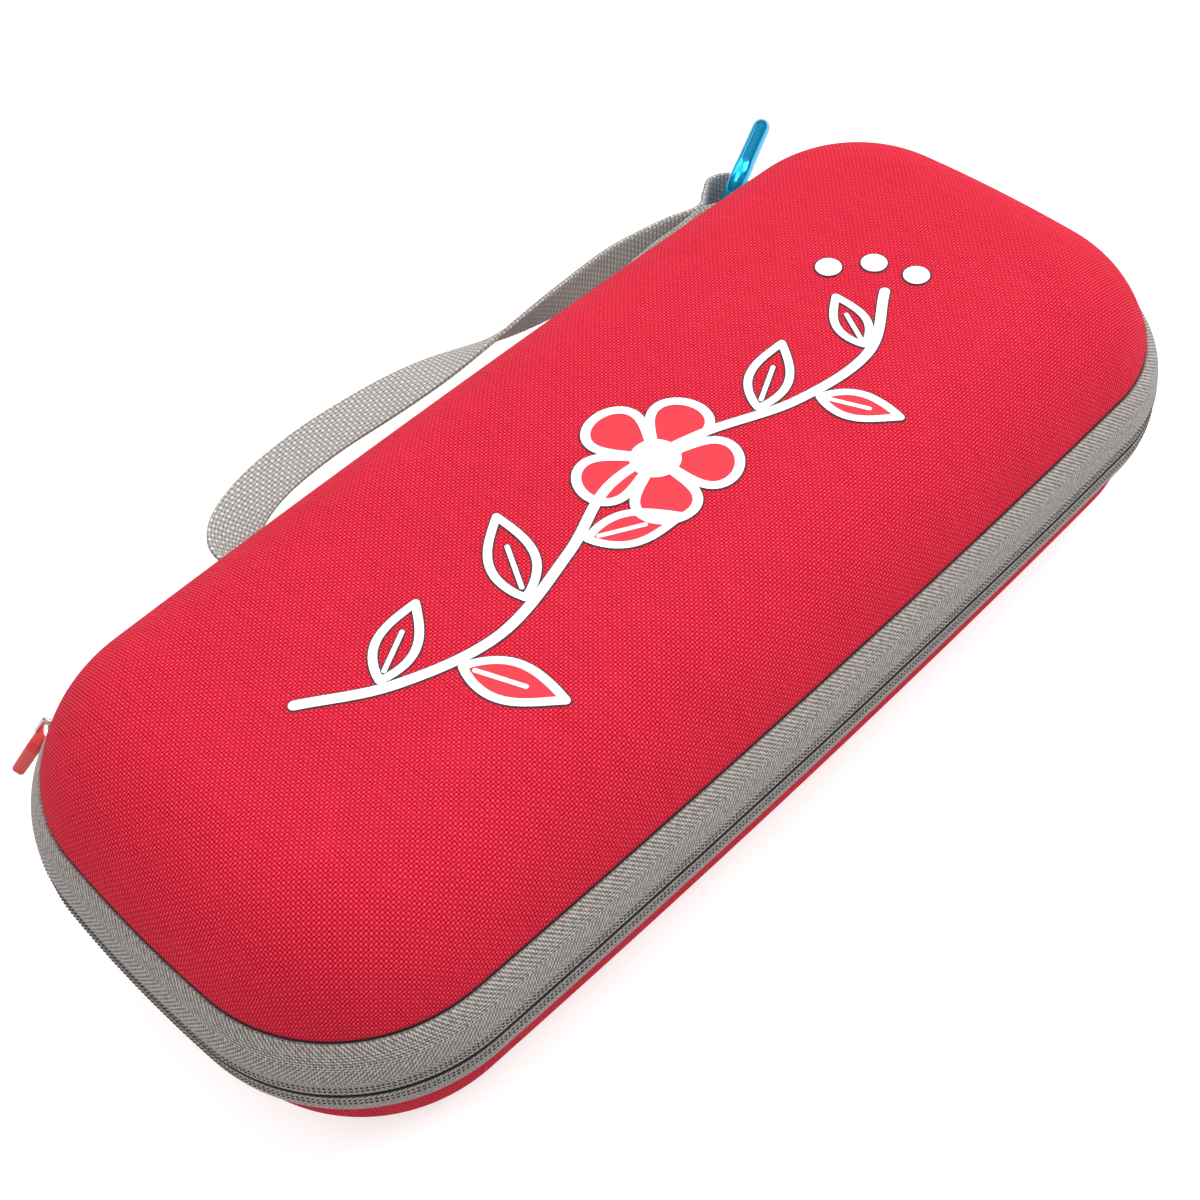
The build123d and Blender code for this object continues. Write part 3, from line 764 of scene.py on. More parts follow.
# ---- geometry node trees -----------------------------------------------------------------
def geometry_tree(name, inputs):
    """A new geometry tree with Geometry in and out, and named inputs."""
    tree = bpy.data.node_groups.new(name, "GeometryNodeTree")
    tree.interface.new_socket("Geometry", in_out="INPUT", socket_type="NodeSocketGeometry")
    tree.interface.new_socket("Geometry", in_out="OUTPUT", socket_type="NodeSocketGeometry")
    for label, kind, default in inputs:
        socket = tree.interface.new_socket(label, in_out="INPUT", socket_type=kind)
        if default is not None:
            socket.default_value = default
    n = Nodes(tree)
    return tree, n, n.add("NodeGroupInput").outputs, n.add("NodeGroupOutput")


def close_tree(n, given, drain, geometry):
    """Realize the instances and give them the tree's material."""
    realized = n.add("GeometryNodeRealizeInstances", {0: geometry})
    painted = n.add("GeometryNodeSetMaterial", {
        "Geometry": realized.outputs[0], "Material": given["Material"]})
    n.put(drain.inputs[0], painted.outputs[0])


@cache
def thread_tree():
    """Short threads along a path, either following it or all in one direction."""
    tree, n, given, drain = geometry_tree("Threads", [
        ("Pitch", FLOAT, 0.002), ("Length", FLOAT, 0.0017), ("Radius", FLOAT, 0.0002),
        ("Direction", VECTOR, (0.0, 0.0, 0.0)), ("Material", "NodeSocketMaterial", None)])
    curve = n.add("GeometryNodeMeshToCurve", {0: given["Geometry"]})
    even = n.add(
        "GeometryNodeResampleCurve", {"Curve": curve.outputs[0], "Length": given["Pitch"]}, mode="LENGTH")
    bead = n.add("GeometryNodeMeshUVSphere", {"Segments": 6, "Rings": 5, "Radius": 1.0})
    size = n.add("ShaderNodeCombineXYZ", {
        0: given["Radius"], 1: given["Radius"], 2: n.math("MULTIPLY", given["Length"], 0.5)})
    thread = n.add("GeometryNodeTransform", {"Geometry": bead.outputs[0], "Scale": size.outputs[0]})
    tangent = n.add("ShaderNodeVectorMath", {
        0: n.add("GeometryNodeInputTangent").outputs[0], 1: (0.01, 0.01, 0.01)}, operation="MULTIPLY")
    toward = n.add("ShaderNodeVectorMath", {0: tangent.outputs[0], 1: given["Direction"]}, operation="ADD")
    turn = n.add("FunctionNodeAlignRotationToVector", {"Vector": toward.outputs[0]}, axis="Z")
    placed = n.add("GeometryNodeInstanceOnPoints", {
        "Points": even.outputs[0], "Instance": thread.outputs[0], "Rotation": turn.outputs[0]})
    close_tree(n, given, drain, placed.outputs[0])
    return tree


@cache
def coil_tree():
    """A moulded coil: one flattened turn of wire for each tooth."""
    tree, n, given, drain = geometry_tree("Coil", [
        ("Pitch", FLOAT, 0.0013), ("Depth", FLOAT, 0.0016), ("Height", FLOAT, 0.0024),
        ("Wire", FLOAT, 0.00055), ("Material", "NodeSocketMaterial", None)])
    curve = n.add("GeometryNodeMeshToCurve", {0: given["Geometry"]})
    even = n.add(
        "GeometryNodeResampleCurve", {"Curve": curve.outputs[0], "Length": given["Pitch"]}, mode="LENGTH")
    turn = n.add("GeometryNodeCurveSpiral", {
        "Resolution": 16, "Rotations": 1.0, "Start Radius": 1.0, "End Radius": 1.0, "Height": given["Pitch"]})
    wire = n.math("MULTIPLY", given["Wire"], 0.5)
    deep = n.math("SUBTRACT", n.math("MULTIPLY", given["Depth"], 0.5), wire)
    tall = n.math("SUBTRACT", n.math("MULTIPLY", given["Height"], 0.5), wire)
    size = n.add("ShaderNodeCombineXYZ", {0: tall, 1: deep, 2: 1.0})
    shaped = n.add("GeometryNodeTransform", {"Geometry": turn.outputs[0], "Scale": size.outputs[0]})
    laid = n.add("GeometryNodeTransform", {"Geometry": shaped.outputs[0], "Rotation": (0.0, pi / 2, 0.0)})
    ring = n.add("GeometryNodeCurvePrimitiveCircle", {"Resolution": 6, "Radius": wire})
    tooth = n.add("GeometryNodeCurveToMesh", {
        "Curve": laid.outputs[0], "Profile Curve": ring.outputs[0], "Fill Caps": True})
    facing = n.add("FunctionNodeAlignRotationToVector", {
        "Vector": n.add("GeometryNodeInputTangent").outputs[0]}, axis="X", pivot_axis="Z")
    placed = n.add("GeometryNodeInstanceOnPoints", {
        "Points": even.outputs[0], "Instance": tooth.outputs[0], "Rotation": facing.outputs[0]})
    close_tree(n, given, drain, placed.outputs[0])
    return tree


@cache
def net_tree():
    """Threads along every edge of a mesh."""
    tree, n, given, drain = geometry_tree("Net", [
        ("Radius", FLOAT, 0.0002), ("Material", "NodeSocketMaterial", None)])
    curve = n.add("GeometryNodeMeshToCurve", {0: given["Geometry"]})
    ring = n.add("GeometryNodeCurvePrimitiveCircle", {"Resolution": 4, "Radius": given["Radius"]})
    cords = n.add("GeometryNodeCurveToMesh", {
        "Curve": curve.outputs[0], "Profile Curve": ring.outputs[0], "Fill Caps": True})
    close_tree(n, given, drain, cords.outputs[0])
    return tree


def repeated(name, paths, tree, look, **inputs):
    """Run a tree on a mesh of paths, and keep the result as a plain mesh."""
    verts, edges = [], []
    for path in paths:
        start = len(verts)
        verts += [tuple(p) for p in path]
        edges += [(start + i, start + i + 1) for i in range(len(path) - 1)]
    mesh = bpy.data.meshes.new(name)
    mesh.from_pydata(verts, edges, [])
    obj = linked(name, mesh)
    modifier = obj.modifiers.new("Nodes", "NODES")
    modifier.node_group = tree
    keys = {item.name: item.identifier for item in tree.interface.items_tree if item.in_out == "INPUT"}
    modifier[keys["Material"]] = material(look)
    for label, value in inputs.items():
        modifier[keys[label]] = value
    result = settle(obj, recalc=False)
    result.data.shade_smooth()
    return result


def joined(name, objects):
    """One mesh object made of several."""
    work = bmesh.new()
    for obj in objects:
        work.from_mesh(obj.data)
    mesh = bpy.data.meshes.new(name)
    work.to_mesh(mesh)
    work.free()
    for obj in objects:
        bpy.data.objects.remove(obj)
    mesh.shade_smooth()
    obj = linked(name, mesh)
    return obj


# ---- shells ------------------------------------------------------------------------------
SPINE = 98.0 * MM              # half the spine's length
SPINE_GAP = 0.15 * MM
CHAIN_END = 108.0 * MM         # from the spine's middle to the first tooth
SLIDER_STRETCH = (131 * MM, 205 * MM)
TOOTH_PITCH, TOOTH_DEPTH, TOOTH_HEIGHT, TOOTH_WIRE = 1.3 * MM, 1.6 * MM, 1.9 * MM, 0.55 * MM
STITCH_ROWS = (1.9 * MM, 3.1 * MM)
BINDING_THICK, BINDING_HEIGHT = 0.8 * MM, 2.8 * MM
CURL, CURL_STEPS = 0.55 * MM, 8
HALVES = (("lid", 1), ("base", -1))


def depths():
    """Distances of each layer's faces under the outer face."""
    w = setting("case_wall")
    foam = max(w.tape, w.cover) + w.bond
    lining = foam + w.foam + w.bond
    binding = lining + w.lining + w.bond
    return foam, foam + w.foam, lining, lining + w.lining, binding


def make_covers():
    """The outer cloth of both halves, turned in at the crease."""
    w = setting("case_wall")
    for name, sign in HALVES:
        half = Half(sign)
        outer = half.dome_line(0, w.crease)
        foot, knee = Vector(outer[0]), Vector(outer[3])
        rim = []
        for i in range(CURL_STEPS):
            p = foot.lerp(knee, i / CURL_STEPS)
            rim.append((p.x + CURL * max(0, 1 - 2 * i / CURL_STEPS) ** 2, p.y))
        obj = shell(f"{name}_cloth", half, rim + outer[3:], half.dome_line(w.cover, w.crease), -0.1 * MM)
        finish(obj, material("cover_cloth"), name, "cover_cloth", f"{name}_cover")


def make_inner_shells():
    """Foam and lining of both halves."""
    foam_near, foam_far, lining_near, lining_far, _ = depths()
    rim = setting("case_wall").rim
    for name, sign in HALVES:
        half = Half(sign)
        for part, look, node, near, far in (
            ("foam", "foam", "foam_shell", foam_near, foam_far),
            ("inner_lining", "lining", "lining", lining_near, lining_far),
        ):
            outer = half.band_line(near, rim)[:-1] + half.dome_line(near, 0.3 * MM)
            inner = half.band_line(far, rim)[:-1] + half.dome_line(far, 0.3 * MM)
            obj = shell(f"{name}_{part}", half, outer, inner, -0.1 * MM)
            finish(obj, material(look), name, look, f"{name}_{node}")


def make_bindings():
    """Cloth strip folded over the rim of foam and lining."""
    foam_near, _, _, _, binding = depths()
    w = setting("case_wall")
    thick, low = BINDING_THICK, w.rim - w.bond - BINDING_THICK
    high = low + BINDING_HEIGHT
    for name, sign in HALVES:
        half = Half(sign)
        loop = half.band_line(binding + thick, low, high, 5)
        loop += half.band_line(binding, low + thick, high, 5)[::-1]
        loop += half.band_line(foam_near, low, low + thick, 3)[::-1]
        obj = loop_sweep(f"{name}_binding", half, loop, bevel=0.3 * MM)
        finish(obj, material("binding"), name, "binding", f"{name}_rim_binding")


def open_places(reach):
    """Distances along the outline from one end of the spine's stretch round to the other."""
    outline = Outline()
    inside = [s for s in outline.stations() if reach < s < outline.length - reach]
    return [reach] + inside + [outline.length - reach]


def make_tapes():
    """Herringbone tape of both halves, with its two rows of stitching drawn as nearly black beads, the
    painted shade of the needle holes.
    """
    w = setting("case_wall")
    places = open_places(SPINE + SPINE_GAP)
    for name, sign in HALVES:
        half = Half(sign)
        outer = half.band_line(0, w.gap / 2)
        inner = half.band_line(w.tape, w.gap / 2)
        loop = outer + half_round(outer[-1], inner[-1], -0.1 * MM)
        loop += inner[::-1] + half_round(inner[0], outer[0], -0.3 * MM)
        obj = loop_sweep(f"{name}_tape", half, loop, places)
        finish(obj, material("zip_tape"), name, "zip_tape", f"{name}_zip_tape")
        rows = []
        for height in STITCH_ROWS:
            turn = half.on_band(0, height)
            u = half.band_r * (1 - cos(turn)) - 0.02 * MM
            rows.append([outline_point(half, s, u, height) for s in places[1:-1]])
        # Painted shade: nearly black beads at 1 mm pitch along each row stand for the shade in the needle
        # holes.
        obj = repeated(f"{name}_tape_stitch_shade", rows, thread_tree(), "stitch_hole_shade",
                       Pitch=1.0 * MM, Length=0.6 * MM, Radius=0.2 * MM)
        finish(obj, material("stitch_hole_shade"), name, "thread")


def outline_point(half, s, u, h):
    """Point at a distance along the outline, inwards by u and away from the zip by h."""
    point, normal = Outline().at(s)
    p = point - normal * u
    return Vector((p.x, p.y, half.zip + half.sign * h))


def make_spine():
    """Cloth spine that joins the halves."""
    w = setting("case_wall")
    lid, base = Half(1), Half(-1)

    def line(offset):
        below = [(u, -h) for u, h in base.band_line(offset, 0)]
        return below[::-1] + lid.band_line(offset, 0)[1:]

    outer, inner = line(0), line(w.tape)
    loop = outer + inner[::-1]
    total = Outline().length
    places = [total - SPINE + 2 * SPINE * i / 80 for i in range(81)]
    obj = loop_sweep("spine_cloth", lid, loop, places)
    finish(obj, material("zip_tape"), None, "zip_tape", "lid_spine_web", "base_spine_web")
    back = setting("case_outline").wide / 2
    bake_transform(obj)


def make_coils():
    """Coil of both halves; its heads mesh except where the slider runs."""
    w = setting("case_wall")
    marks = (CHAIN_END, *SLIDER_STRETCH, Outline().length - CHAIN_END)
    for name, sign in HALVES:
        half = Half(sign)
        objects = []
        depth = w.tape + w.bond + TOOTH_DEPTH / 2
        high = w.gap / 2 + TOOTH_HEIGHT
        for i, (start, stop) in enumerate(zip(marks, marks[1:])):
            low = 0.3 * MM if i == 1 else -0.25 * MM
            count = int((stop - start) / (1 * MM))
            steps = [start + (stop - start) * k / count for k in range(count + 1)]
            path = [outline_point(half, s, depth, (low + high) / 2) for s in steps]
            objects.append(repeated(
                f"{name}_coil_{i}", [path], coil_tree(), "coil",
                Pitch=TOOTH_PITCH, Depth=TOOTH_DEPTH, Height=high - low, Wire=TOOTH_WIRE))
        obj = joined(f"{name}_coil", objects)
        finish(obj, material("coil"), name, "coil", f"{name}_zip_coil")


def make_stops():
    """Bars of stitching over the tape at each end of the coil."""
    total = Outline().length
    for name, sign in HALVES:
        half = Half(sign)
        rows = []
        for middle in (CHAIN_END - 2.5 * MM, total - CHAIN_END + 2.5 * MM):
            steps = [middle + i * 0.5 * MM for i in range(-3, 4)]
            rows.append([outline_point(half, s, -0.15 * MM, 2.2 * MM) for s in steps])
        obj = repeated(f"{name}_stops", rows, thread_tree(), "thread",
                       Pitch=0.4 * MM, Length=3.6 * MM, Radius=0.32 * MM, Direction=(0.0, 0.0, 1.0))
        finish(obj, material("thread"), name, "stop", f"{name}_zip_stops")


# ---- strap -------------------------------------------------------------------------------
STRAP_WIDTH, STRAP_THICK = 12.5 * MM, 1.3 * MM
LOOP_X, LOOP_Y, LOOP_Z, LOOP_RADIUS = 119.5, 80.7, 20.0, 6.45    # millimetres
STRAP_Y, STRAP_Z = 63.8 * MM, 23.5 * MM                          # the sewn ends
LEFT_SEWN, RIGHT_SEWN = (-46.5 * MM, -32 * MM), (40 * MM, 54 * MM)
LOOP_CLOSURE = 11.0            # millimetres back from the loop's centre
BACK_SHIFT = 0.05              # keeps the two faces of the webbing apart on the UV
BAR = (-5.25 * MM, 0, 5.25 * MM)
BAR_THREADS = {"Pitch": 0.5 * MM, "Length": 3.0 * MM, "Radius": 0.3 * MM, "Direction": (1.0, 0.0, 0.0)}


def strap_stations():
    """Millimetres: x, y, z and twist, from the left sewn end round to the right one."""
    left, right, y = -46.85, 54.35, 63.8
    stations = [
        (left, y, 23.5, 90), (left - 7, y + 2.4, 23.8, 82), (left - 11.5, 72, 24, 64),
        (left - 10.5, 79.5, 24.6, 42), (left - 3.5, 85.8, 25.4, 22), (-38, 89.8, 26, 12),
        (-20, 91.3, 26, 10), (0, 90.2, 25.8, 6), (16, 88.8, 25.4, -10), (30, 87.6, 24.6, -35),
        (44, 86.8, 23.4, -60), (60, 87, 21.8, -78), (80, 87.4, 20.6, -87), (98, 84.6, 20, -90),
        (108.5, 81.4, 20, -90)]
    for turn in (145, 90, 35, -35, -90, -145):
        t = radians(turn)
        stations.append((LOOP_X + LOOP_RADIUS * cos(t), LOOP_Y + LOOP_RADIUS * sin(t), LOOP_Z, -90))
    stations += [
        (108.5, 80.0, 20, -90), (98, 79.6, 20, -90), (86, 79.0, 20.6, -90), (74, 76.6, 21.6, -90),
        (66, 71.6, 22.4, -90), (right + 5.5, y + 2.2, 23.2, -90), (right, y, 23.5, -90)]
    return stations


def smooth_line(stations, steps):
    """Catmull-Rom curve through the stations."""
    first = tuple(2 * a - b for a, b in zip(stations[0], stations[1]))
    last = tuple(2 * a - b for a, b in zip(stations[-1], stations[-2]))
    line = [first] + stations + [last]
    result = []
    for p, q, r, s in zip(line, line[1:], line[2:], line[3:]):
        for step in range(steps):
            t = step / steps
            result.append(tuple(
                0.5 * (2 * b + (c - a) * t + (2 * a - 5 * b + 4 * c - d) * t * t
                       + (3 * b - a - 3 * c + d) * t ** 3)
                for a, b, c, d in zip(p, q, r, s)))
    result.append(stations[-1])
    return result


def strap_section():
    """Section of the webbing: across, through, and the cloth's own width at each point."""
    w, t = STRAP_WIDTH / 2, STRAP_THICK / 2
    edge = t * 0.9
    top = [(-(w - edge) + 2 * (w - edge) * i / 8, t) for i in range(9)]
    right = [(w - edge + edge * sin(a), t * cos(a)) for a in (pi / 4, pi / 2, 3 * pi / 4)]
    bottom = [(-x, -y) for x, y in top]
    left = [(-x, -y) for x, y in right]
    return top + right + bottom + left


def make_strap():
    """Carry strap in one length of webbing, sewn ends included."""
    stations = smooth_line(strap_stations(), 8)
    frames = []
    for i, (x, y, z, twist) in enumerate(stations):
        before, after = stations[max(i - 1, 0)], stations[min(i + 1, len(stations) - 1)]
        along = (Vector(after[:3]) - Vector(before[:3])).normalized()
        flat = Vector((0, 0, 1)).cross(along).normalized()
        t = radians(twist)
        across = flat * cos(t) + along.cross(flat) * sin(t)
        frames.append((Vector((x, y, z)) * MM, along, across))
    along = Vector((-1, 0, 0))
    up = Vector((0, 0, 1))
    frames[0] = (frames[0][0], along, up)
    frames[-1] = (frames[-1][0], along, -up)
    for x in (LEFT_SEWN[0] + 2 * MM, (LEFT_SEWN[0] + LEFT_SEWN[1]) / 2, LEFT_SEWN[1]):
        frames.insert(0, (Vector((x, STRAP_Y, STRAP_Z)), along, up))
    for x in (RIGHT_SEWN[1] - 2 * MM, (RIGHT_SEWN[0] + RIGHT_SEWN[1]) / 2, RIGHT_SEWN[0]):
        frames.append((Vector((x, STRAP_Y, STRAP_Z)), along, -up))
    section = strap_section()
    rings, uvs, run = [], [], 0.0
    for i, (point, along, across) in enumerate(frames):
        if i:
            run += (point - frames[i - 1][0]).length
        through = along.cross(across).normalized()
        rings.append([point + across * a + through * b for a, b in section])
        uvs += [(a if b > 0 else a + BACK_SHIFT, run) for a, b in section]
    obj = tube("strap_cloth", rings, uvs)
    finish(obj, material("webbing"), None, "webbing", "strap_webbing", "strap_end_left", "strap_end_right")
    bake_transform(obj)


def make_strap_tacks():
    """Bars of stitching over the sewn ends and through the loop."""
    outer = STRAP_Y + STRAP_THICK / 2 + 0.1 * MM
    rows = []
    for low, high in (LEFT_SEWN, RIGHT_SEWN):
        for x in (low + 3 * MM, high - 3 * MM):
            rows.append([Vector((x, outer, STRAP_Z + z)) for z in BAR])
    obj = repeated("strap_end_stitches", rows, thread_tree(), "thread", **BAR_THREADS)
    finish(obj, material("thread"), "base", "thread", "strap_end_tacks")
    reach = STRAP_THICK + 0.15 * MM
    closure = Vector((LOOP_X - LOOP_CLOSURE, LOOP_Y, LOOP_Z)) * MM
    rows = [[closure + Vector((0, side * reach, z)) for z in BAR] for side in (-1, 1)]
    obj = repeated("strap_loop_stitches", rows, thread_tree(), "thread", **BAR_THREADS)
    finish(obj, material("thread"), "strap", "thread", "strap_loop_tack")


# ---- interior ----------------------------------------------------------------------------
ELASTIC_WIDTH, ELASTIC_THICK, ELASTIC_Z, ELASTIC_LEG = 22 * MM, 1.2 * MM, 20 * MM, 5.5 * MM


def make_elastics():
    """Two elastic bands across the base, sewn to the lining at both walls."""
    _, _, _, lining_far, _ = depths()
    base = Half(-1)
    o = setting("case_outline")
    t = ELASTIC_THICK
    rows = []
    for side, x in (("left", -55 * MM), ("right", 55 * MM)):
        wall = base.wall_u(base.zip - ELASTIC_Z, lining_far) + 0.15 * MM
        far = abs(x) + ELASTIC_WIDTH / 2
        reach = Outline().side_y + sqrt(o.side ** 2 - far ** 2) - wall
        lean = ELASTIC_LEG * tan(base.slope)
        line = [(lean - reach, -ELASTIC_LEG), (lean * 0.5 - reach, -ELASTIC_LEG / 2), (-reach, -t * 1.2)]
        line += [(-reach + t * 0.3, -t * 0.3), (-reach + t * 1.2, 0)]
        line += [((-reach + t * 1.2) * (1 - i / 12), -0.2 * MM * sin(pi * i / 24)) for i in range(1, 12)]
        line += [(0, -0.2 * MM)]
        line += [(-y, z) for y, z in line[:-1][::-1]]
        rings, uvs = [], []
        low = x - ELASTIC_WIDTH / 2
        for k, ((y, z), along) in enumerate(zip(line, section_run(line))):
            y0, z0 = line[max(k - 1, 0)]
            y1, z1 = line[min(k + 1, len(line) - 1)]
            size = sqrt((y1 - y0) ** 2 + (z1 - z0) ** 2)
            ny, nz = -(z1 - z0) / size, (y1 - y0) / size
            outer = [(low + ELASTIC_WIDTH * i / 8, 0.12 * MM if i in (0, 8) else 0) for i in range(9)]
            ring = outer + [(place, t - e) for place, e in outer[::-1]]
            rings.append([(place, y - ny * d, ELASTIC_Z + z - nz * d) for place, d in ring])
            uvs += [(place, along) for place, _ in ring]
        obj = tube(f"elastic_{side}", rings, uvs)
        finish(obj, material("elastic"), "base", "elastic", f"elastic_band_{side}")
        middle = ELASTIC_LEG * 0.7
        for sign in (-1, 1):
            y = sign * (reach - middle * tan(base.slope) - t - 0.1 * MM)
            rows.append([Vector((x + i * MM, y, ELASTIC_Z - middle)) for i in (-9, 0, 9)])
    obj = repeated("elastic_stitches", rows, thread_tree(), "thread",
                   Pitch=0.6 * MM, Length=2.8 * MM, Radius=0.3 * MM, Direction=(0.0, 0.0, 1.0))
    finish(obj, material("thread"), "base", "thread", "elastic_band_tacks")


def net_field(inset, edge_y):
    """Rows of six-sided meshes inside the outline, cut at its edge and at edge_y."""
    outline = Outline()
    rim = [outline.at(s, inset)[0] for s in outline.stations()]

    def inside(p):
        if p.y > edge_y:
            return False
        hit = False
        for a, b in zip(rim, rim[1:] + rim[:1]):
            if (a.y > p.y) != (b.y > p.y) and p.x < (b.x - a.x) * (p.y - a.y) / (b.y - a.y) + a.x:
                hit = not hit
        return hit

    size = 1.9 * MM
    spokes = [Vector((sin(radians(60 * k)), cos(radians(60 * k)), 0)) * size for k in range(4)]
    wide, tall = size * sqrt(3), size * 1.5
    paths = []
    rows = int(0.14 / tall)
    columns = int(0.30 / wide)
    for j in range(rows):
        for i in range(columns):
            cx = -0.15 + wide * (i + 0.5 * (j % 2))
            cy = -0.07 + tall * j
            centre = Vector((cx, cy, 0))
            corners = [centre + spoke for spoke in spokes]
            keep = [inside(c) for c in corners]
            for k in range(3):
                if keep[k] and keep[k + 1]:
                    paths.append([corners[k], corners[k + 1]])
    return paths


def make_pocket():
    """Net pocket of the lid with its elastic edge."""
    _, _, _, lining_far, _ = depths()
    lid = Half(1)
    z = lid.zip + lid.band + 2 * MM
    inset = lid.wall_u(lid.band + 3.6 * MM, lining_far) + 0.15 * MM
    paths = [[p + Vector((0, 0, z + 0.4 * MM)) for p in path] for path in net_field(inset, 26 * MM)]
    net = repeated("pocket_mesh", paths, net_tree(), "net", Radius=0.24 * MM)
    finish(net, material("net"), "lid", "net", "pocket_net")
    outline = Outline()
    line = [outline.at(s, inset + 1.2 * MM)[0] for s in outline.stations()]
    hem = [Vector((p.x, p.y, z + 0.4 * MM)) for p in line if p.y < 26 * MM]
    start = max(range(len(hem)), key=lambda i: (hem[i] - hem[i - 1]).length)
    hem = hem[start:] + hem[:start]
    obj = flat_tube("pocket_hem", hem, 2.2 * MM, 0.9 * MM)
    finish(obj, material("binding"), "lid", "net")
    y = 30 * MM
    wall = [outline.at(s, inset)[0] for s in outline.stations()]
    reach = min(abs(p.x) for p in wall if p.y > 33.9 * MM and abs(p.x) > 90 * MM)
    edge = [Vector((-reach + 2 * reach * i / 60, y, z + 0.8 * MM)) for i in range(61)]
    obj = flat_tube("pocket_elastic_edge", edge, 8 * MM, 1.6 * MM)
    finish(obj, material("elastic"), "lid", "elastic", "pocket_elastic")


def flat_tube(name, points, wide, thick, power=4.0):
    """Soft-edged strip lying flat along level points."""
    count = 14
    section = []
    for k in range(count):
        t = 2 * pi * k / count
        c, s = cos(t), sin(t)
        section.append((
            wide / 2 * (abs(c) ** (2 / power)) * (1 if c >= 0 else -1),
            thick / 2 * (abs(s) ** (2 / power)) * (1 if s >= 0 else -1)))
    rings, uvs, run = [], [], 0.0
    for i, p in enumerate(points):
        if i:
            run += (p - points[i - 1]).length
        along = (points[min(i + 1, len(points) - 1)] - points[max(i - 1, 0)]).normalized()
        side = Vector((0, 0, 1)).cross(along)
        rings.append([p + side * a + Vector((0, 0, b)) for a, b in section])
        uvs += [(a, run) for a, b in section]
    return tube(name, rings, uvs)


# ---- hard parts --------------------------------------------------------------------------
def make_hard_parts():
    """Finish of the CAD's own metal and moulded parts."""
    for node, look in (
        ("slider_body", "slider_metal"), ("slider_bail", "slider_metal"), ("pull_link", "slider_metal"),
        ("pull_grip", "grip"), ("carabiner_frame", "clip"), ("carabiner_gate", "clip_gate"),
        ("carabiner_gate_pin", "pin"),
    ):
        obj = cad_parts[node]
        obj.data.materials.clear()
        obj.data.materials.append(material(look))


# ---- stage -------------------------------------------------------------------------------
def make_stage():
    """Pale floor, soft lights, white surroundings and the camera."""
    bpy.ops.mesh.primitive_plane_add(size=6, location=(0, 0, 0))
    floor = bpy.context.object
    floor.name = "floor"
    paint, n, shader = new_material("floor")
    shader.inputs["Base Color"].default_value = (0.55, 0.55, 0.55, 1)
    shader.inputs["Roughness"].default_value = 0.9
    shader.inputs["Specular IOR Level"].default_value = 0.1
    shader.inputs["Emission Color"].default_value = (1, 1, 1, 1)
    glow = n.math("MULTIPLY_ADD", n.add("ShaderNodeLightPath").outputs["Is Camera Ray"], 0.47, 0.18)
    n.put(shader.inputs["Emission Strength"], glow)
    floor.data.materials.append(paint)

    scene = bpy.context.scene
    scene.view_settings.view_transform = "Standard"
    world = bpy.data.worlds.new("studio")
    scene.world = world
    world.use_nodes = True
    n = Nodes(world.node_tree)
    back = world.node_tree.nodes["Background"]
    path = n.add("ShaderNodeLightPath")
    seen = n.math("MAXIMUM", path.outputs["Is Camera Ray"], path.outputs["Is Transmission Ray"])
    tall = n.add("ShaderNodeSeparateXYZ", {0: n.add("ShaderNodeTexCoord").outputs["Generated"]}).outputs[2]
    soft = n.math("MULTIPLY_ADD", tall, 1.1, 0.1, clamp=True)
    mirrored = n.math("MULTIPLY", path.outputs["Is Glossy Ray"], n.math("SUBTRACT", 1.0, soft))
    high = n.math("MULTIPLY_ADD", tall, 2.0, -0.9, clamp=True)
    overhead = n.math("MULTIPLY", path.outputs["Is Glossy Ray"], high)
    strength = n.math("MULTIPLY_ADD", overhead, 0.4, n.math("MULTIPLY_ADD", seen, 0.62, 0.38))
    n.put(back.inputs["Strength"], strength)
    n.put(back.inputs["Color"], n.mix(mirrored, (1, 1, 1), (0.06, 0.06, 0.07)))

    middle = Vector((0, 0, 0.04))
    for name, place, size, power in (
        ("key", (0.75, -0.35, 0.85), 0.8, 10.0),
        ("rear", (0.2, 0.9, 0.7), 1.0, 4.0),
        ("near", (-0.55, -0.1, 1.1), 0.7, 5.0),
        ("top", (0.0, 0.1, 1.3), 1.4, 3.0),
    ):
        light = bpy.data.lights.new(name, "AREA")
        light.shape = "SQUARE"
        light.size = size
        light.energy = power
        lamp = linked(name, light)
        lamp.location = place
        lamp.rotation_euler = (middle - Vector(place)).to_track_quat("-Z", "Y").to_euler()

    v = setting("case_view")
    eye = bpy.data.cameras.new("camera")
    eye.lens = v.lens
    eye.sensor_width = 36
    eye.clip_start = 0.01
    eye.clip_end = 20
    camera = linked("camera", eye)
    ahead = Vector((cos(v.dip) * cos(v.heading), cos(v.dip) * sin(v.heading), -sin(v.dip)))
    side = ahead.cross(Vector((0, 0, 1))).normalized()
    up = side.cross(ahead)
    right = side * cos(v.roll) + up * sin(v.roll)
    turn = Matrix((right, ahead.cross(right) * -1, -ahead)).transposed()
    camera.matrix_world = Matrix.Translation(Vector(v.place)) @ turn.to_4x4()
    scene.camera = camera


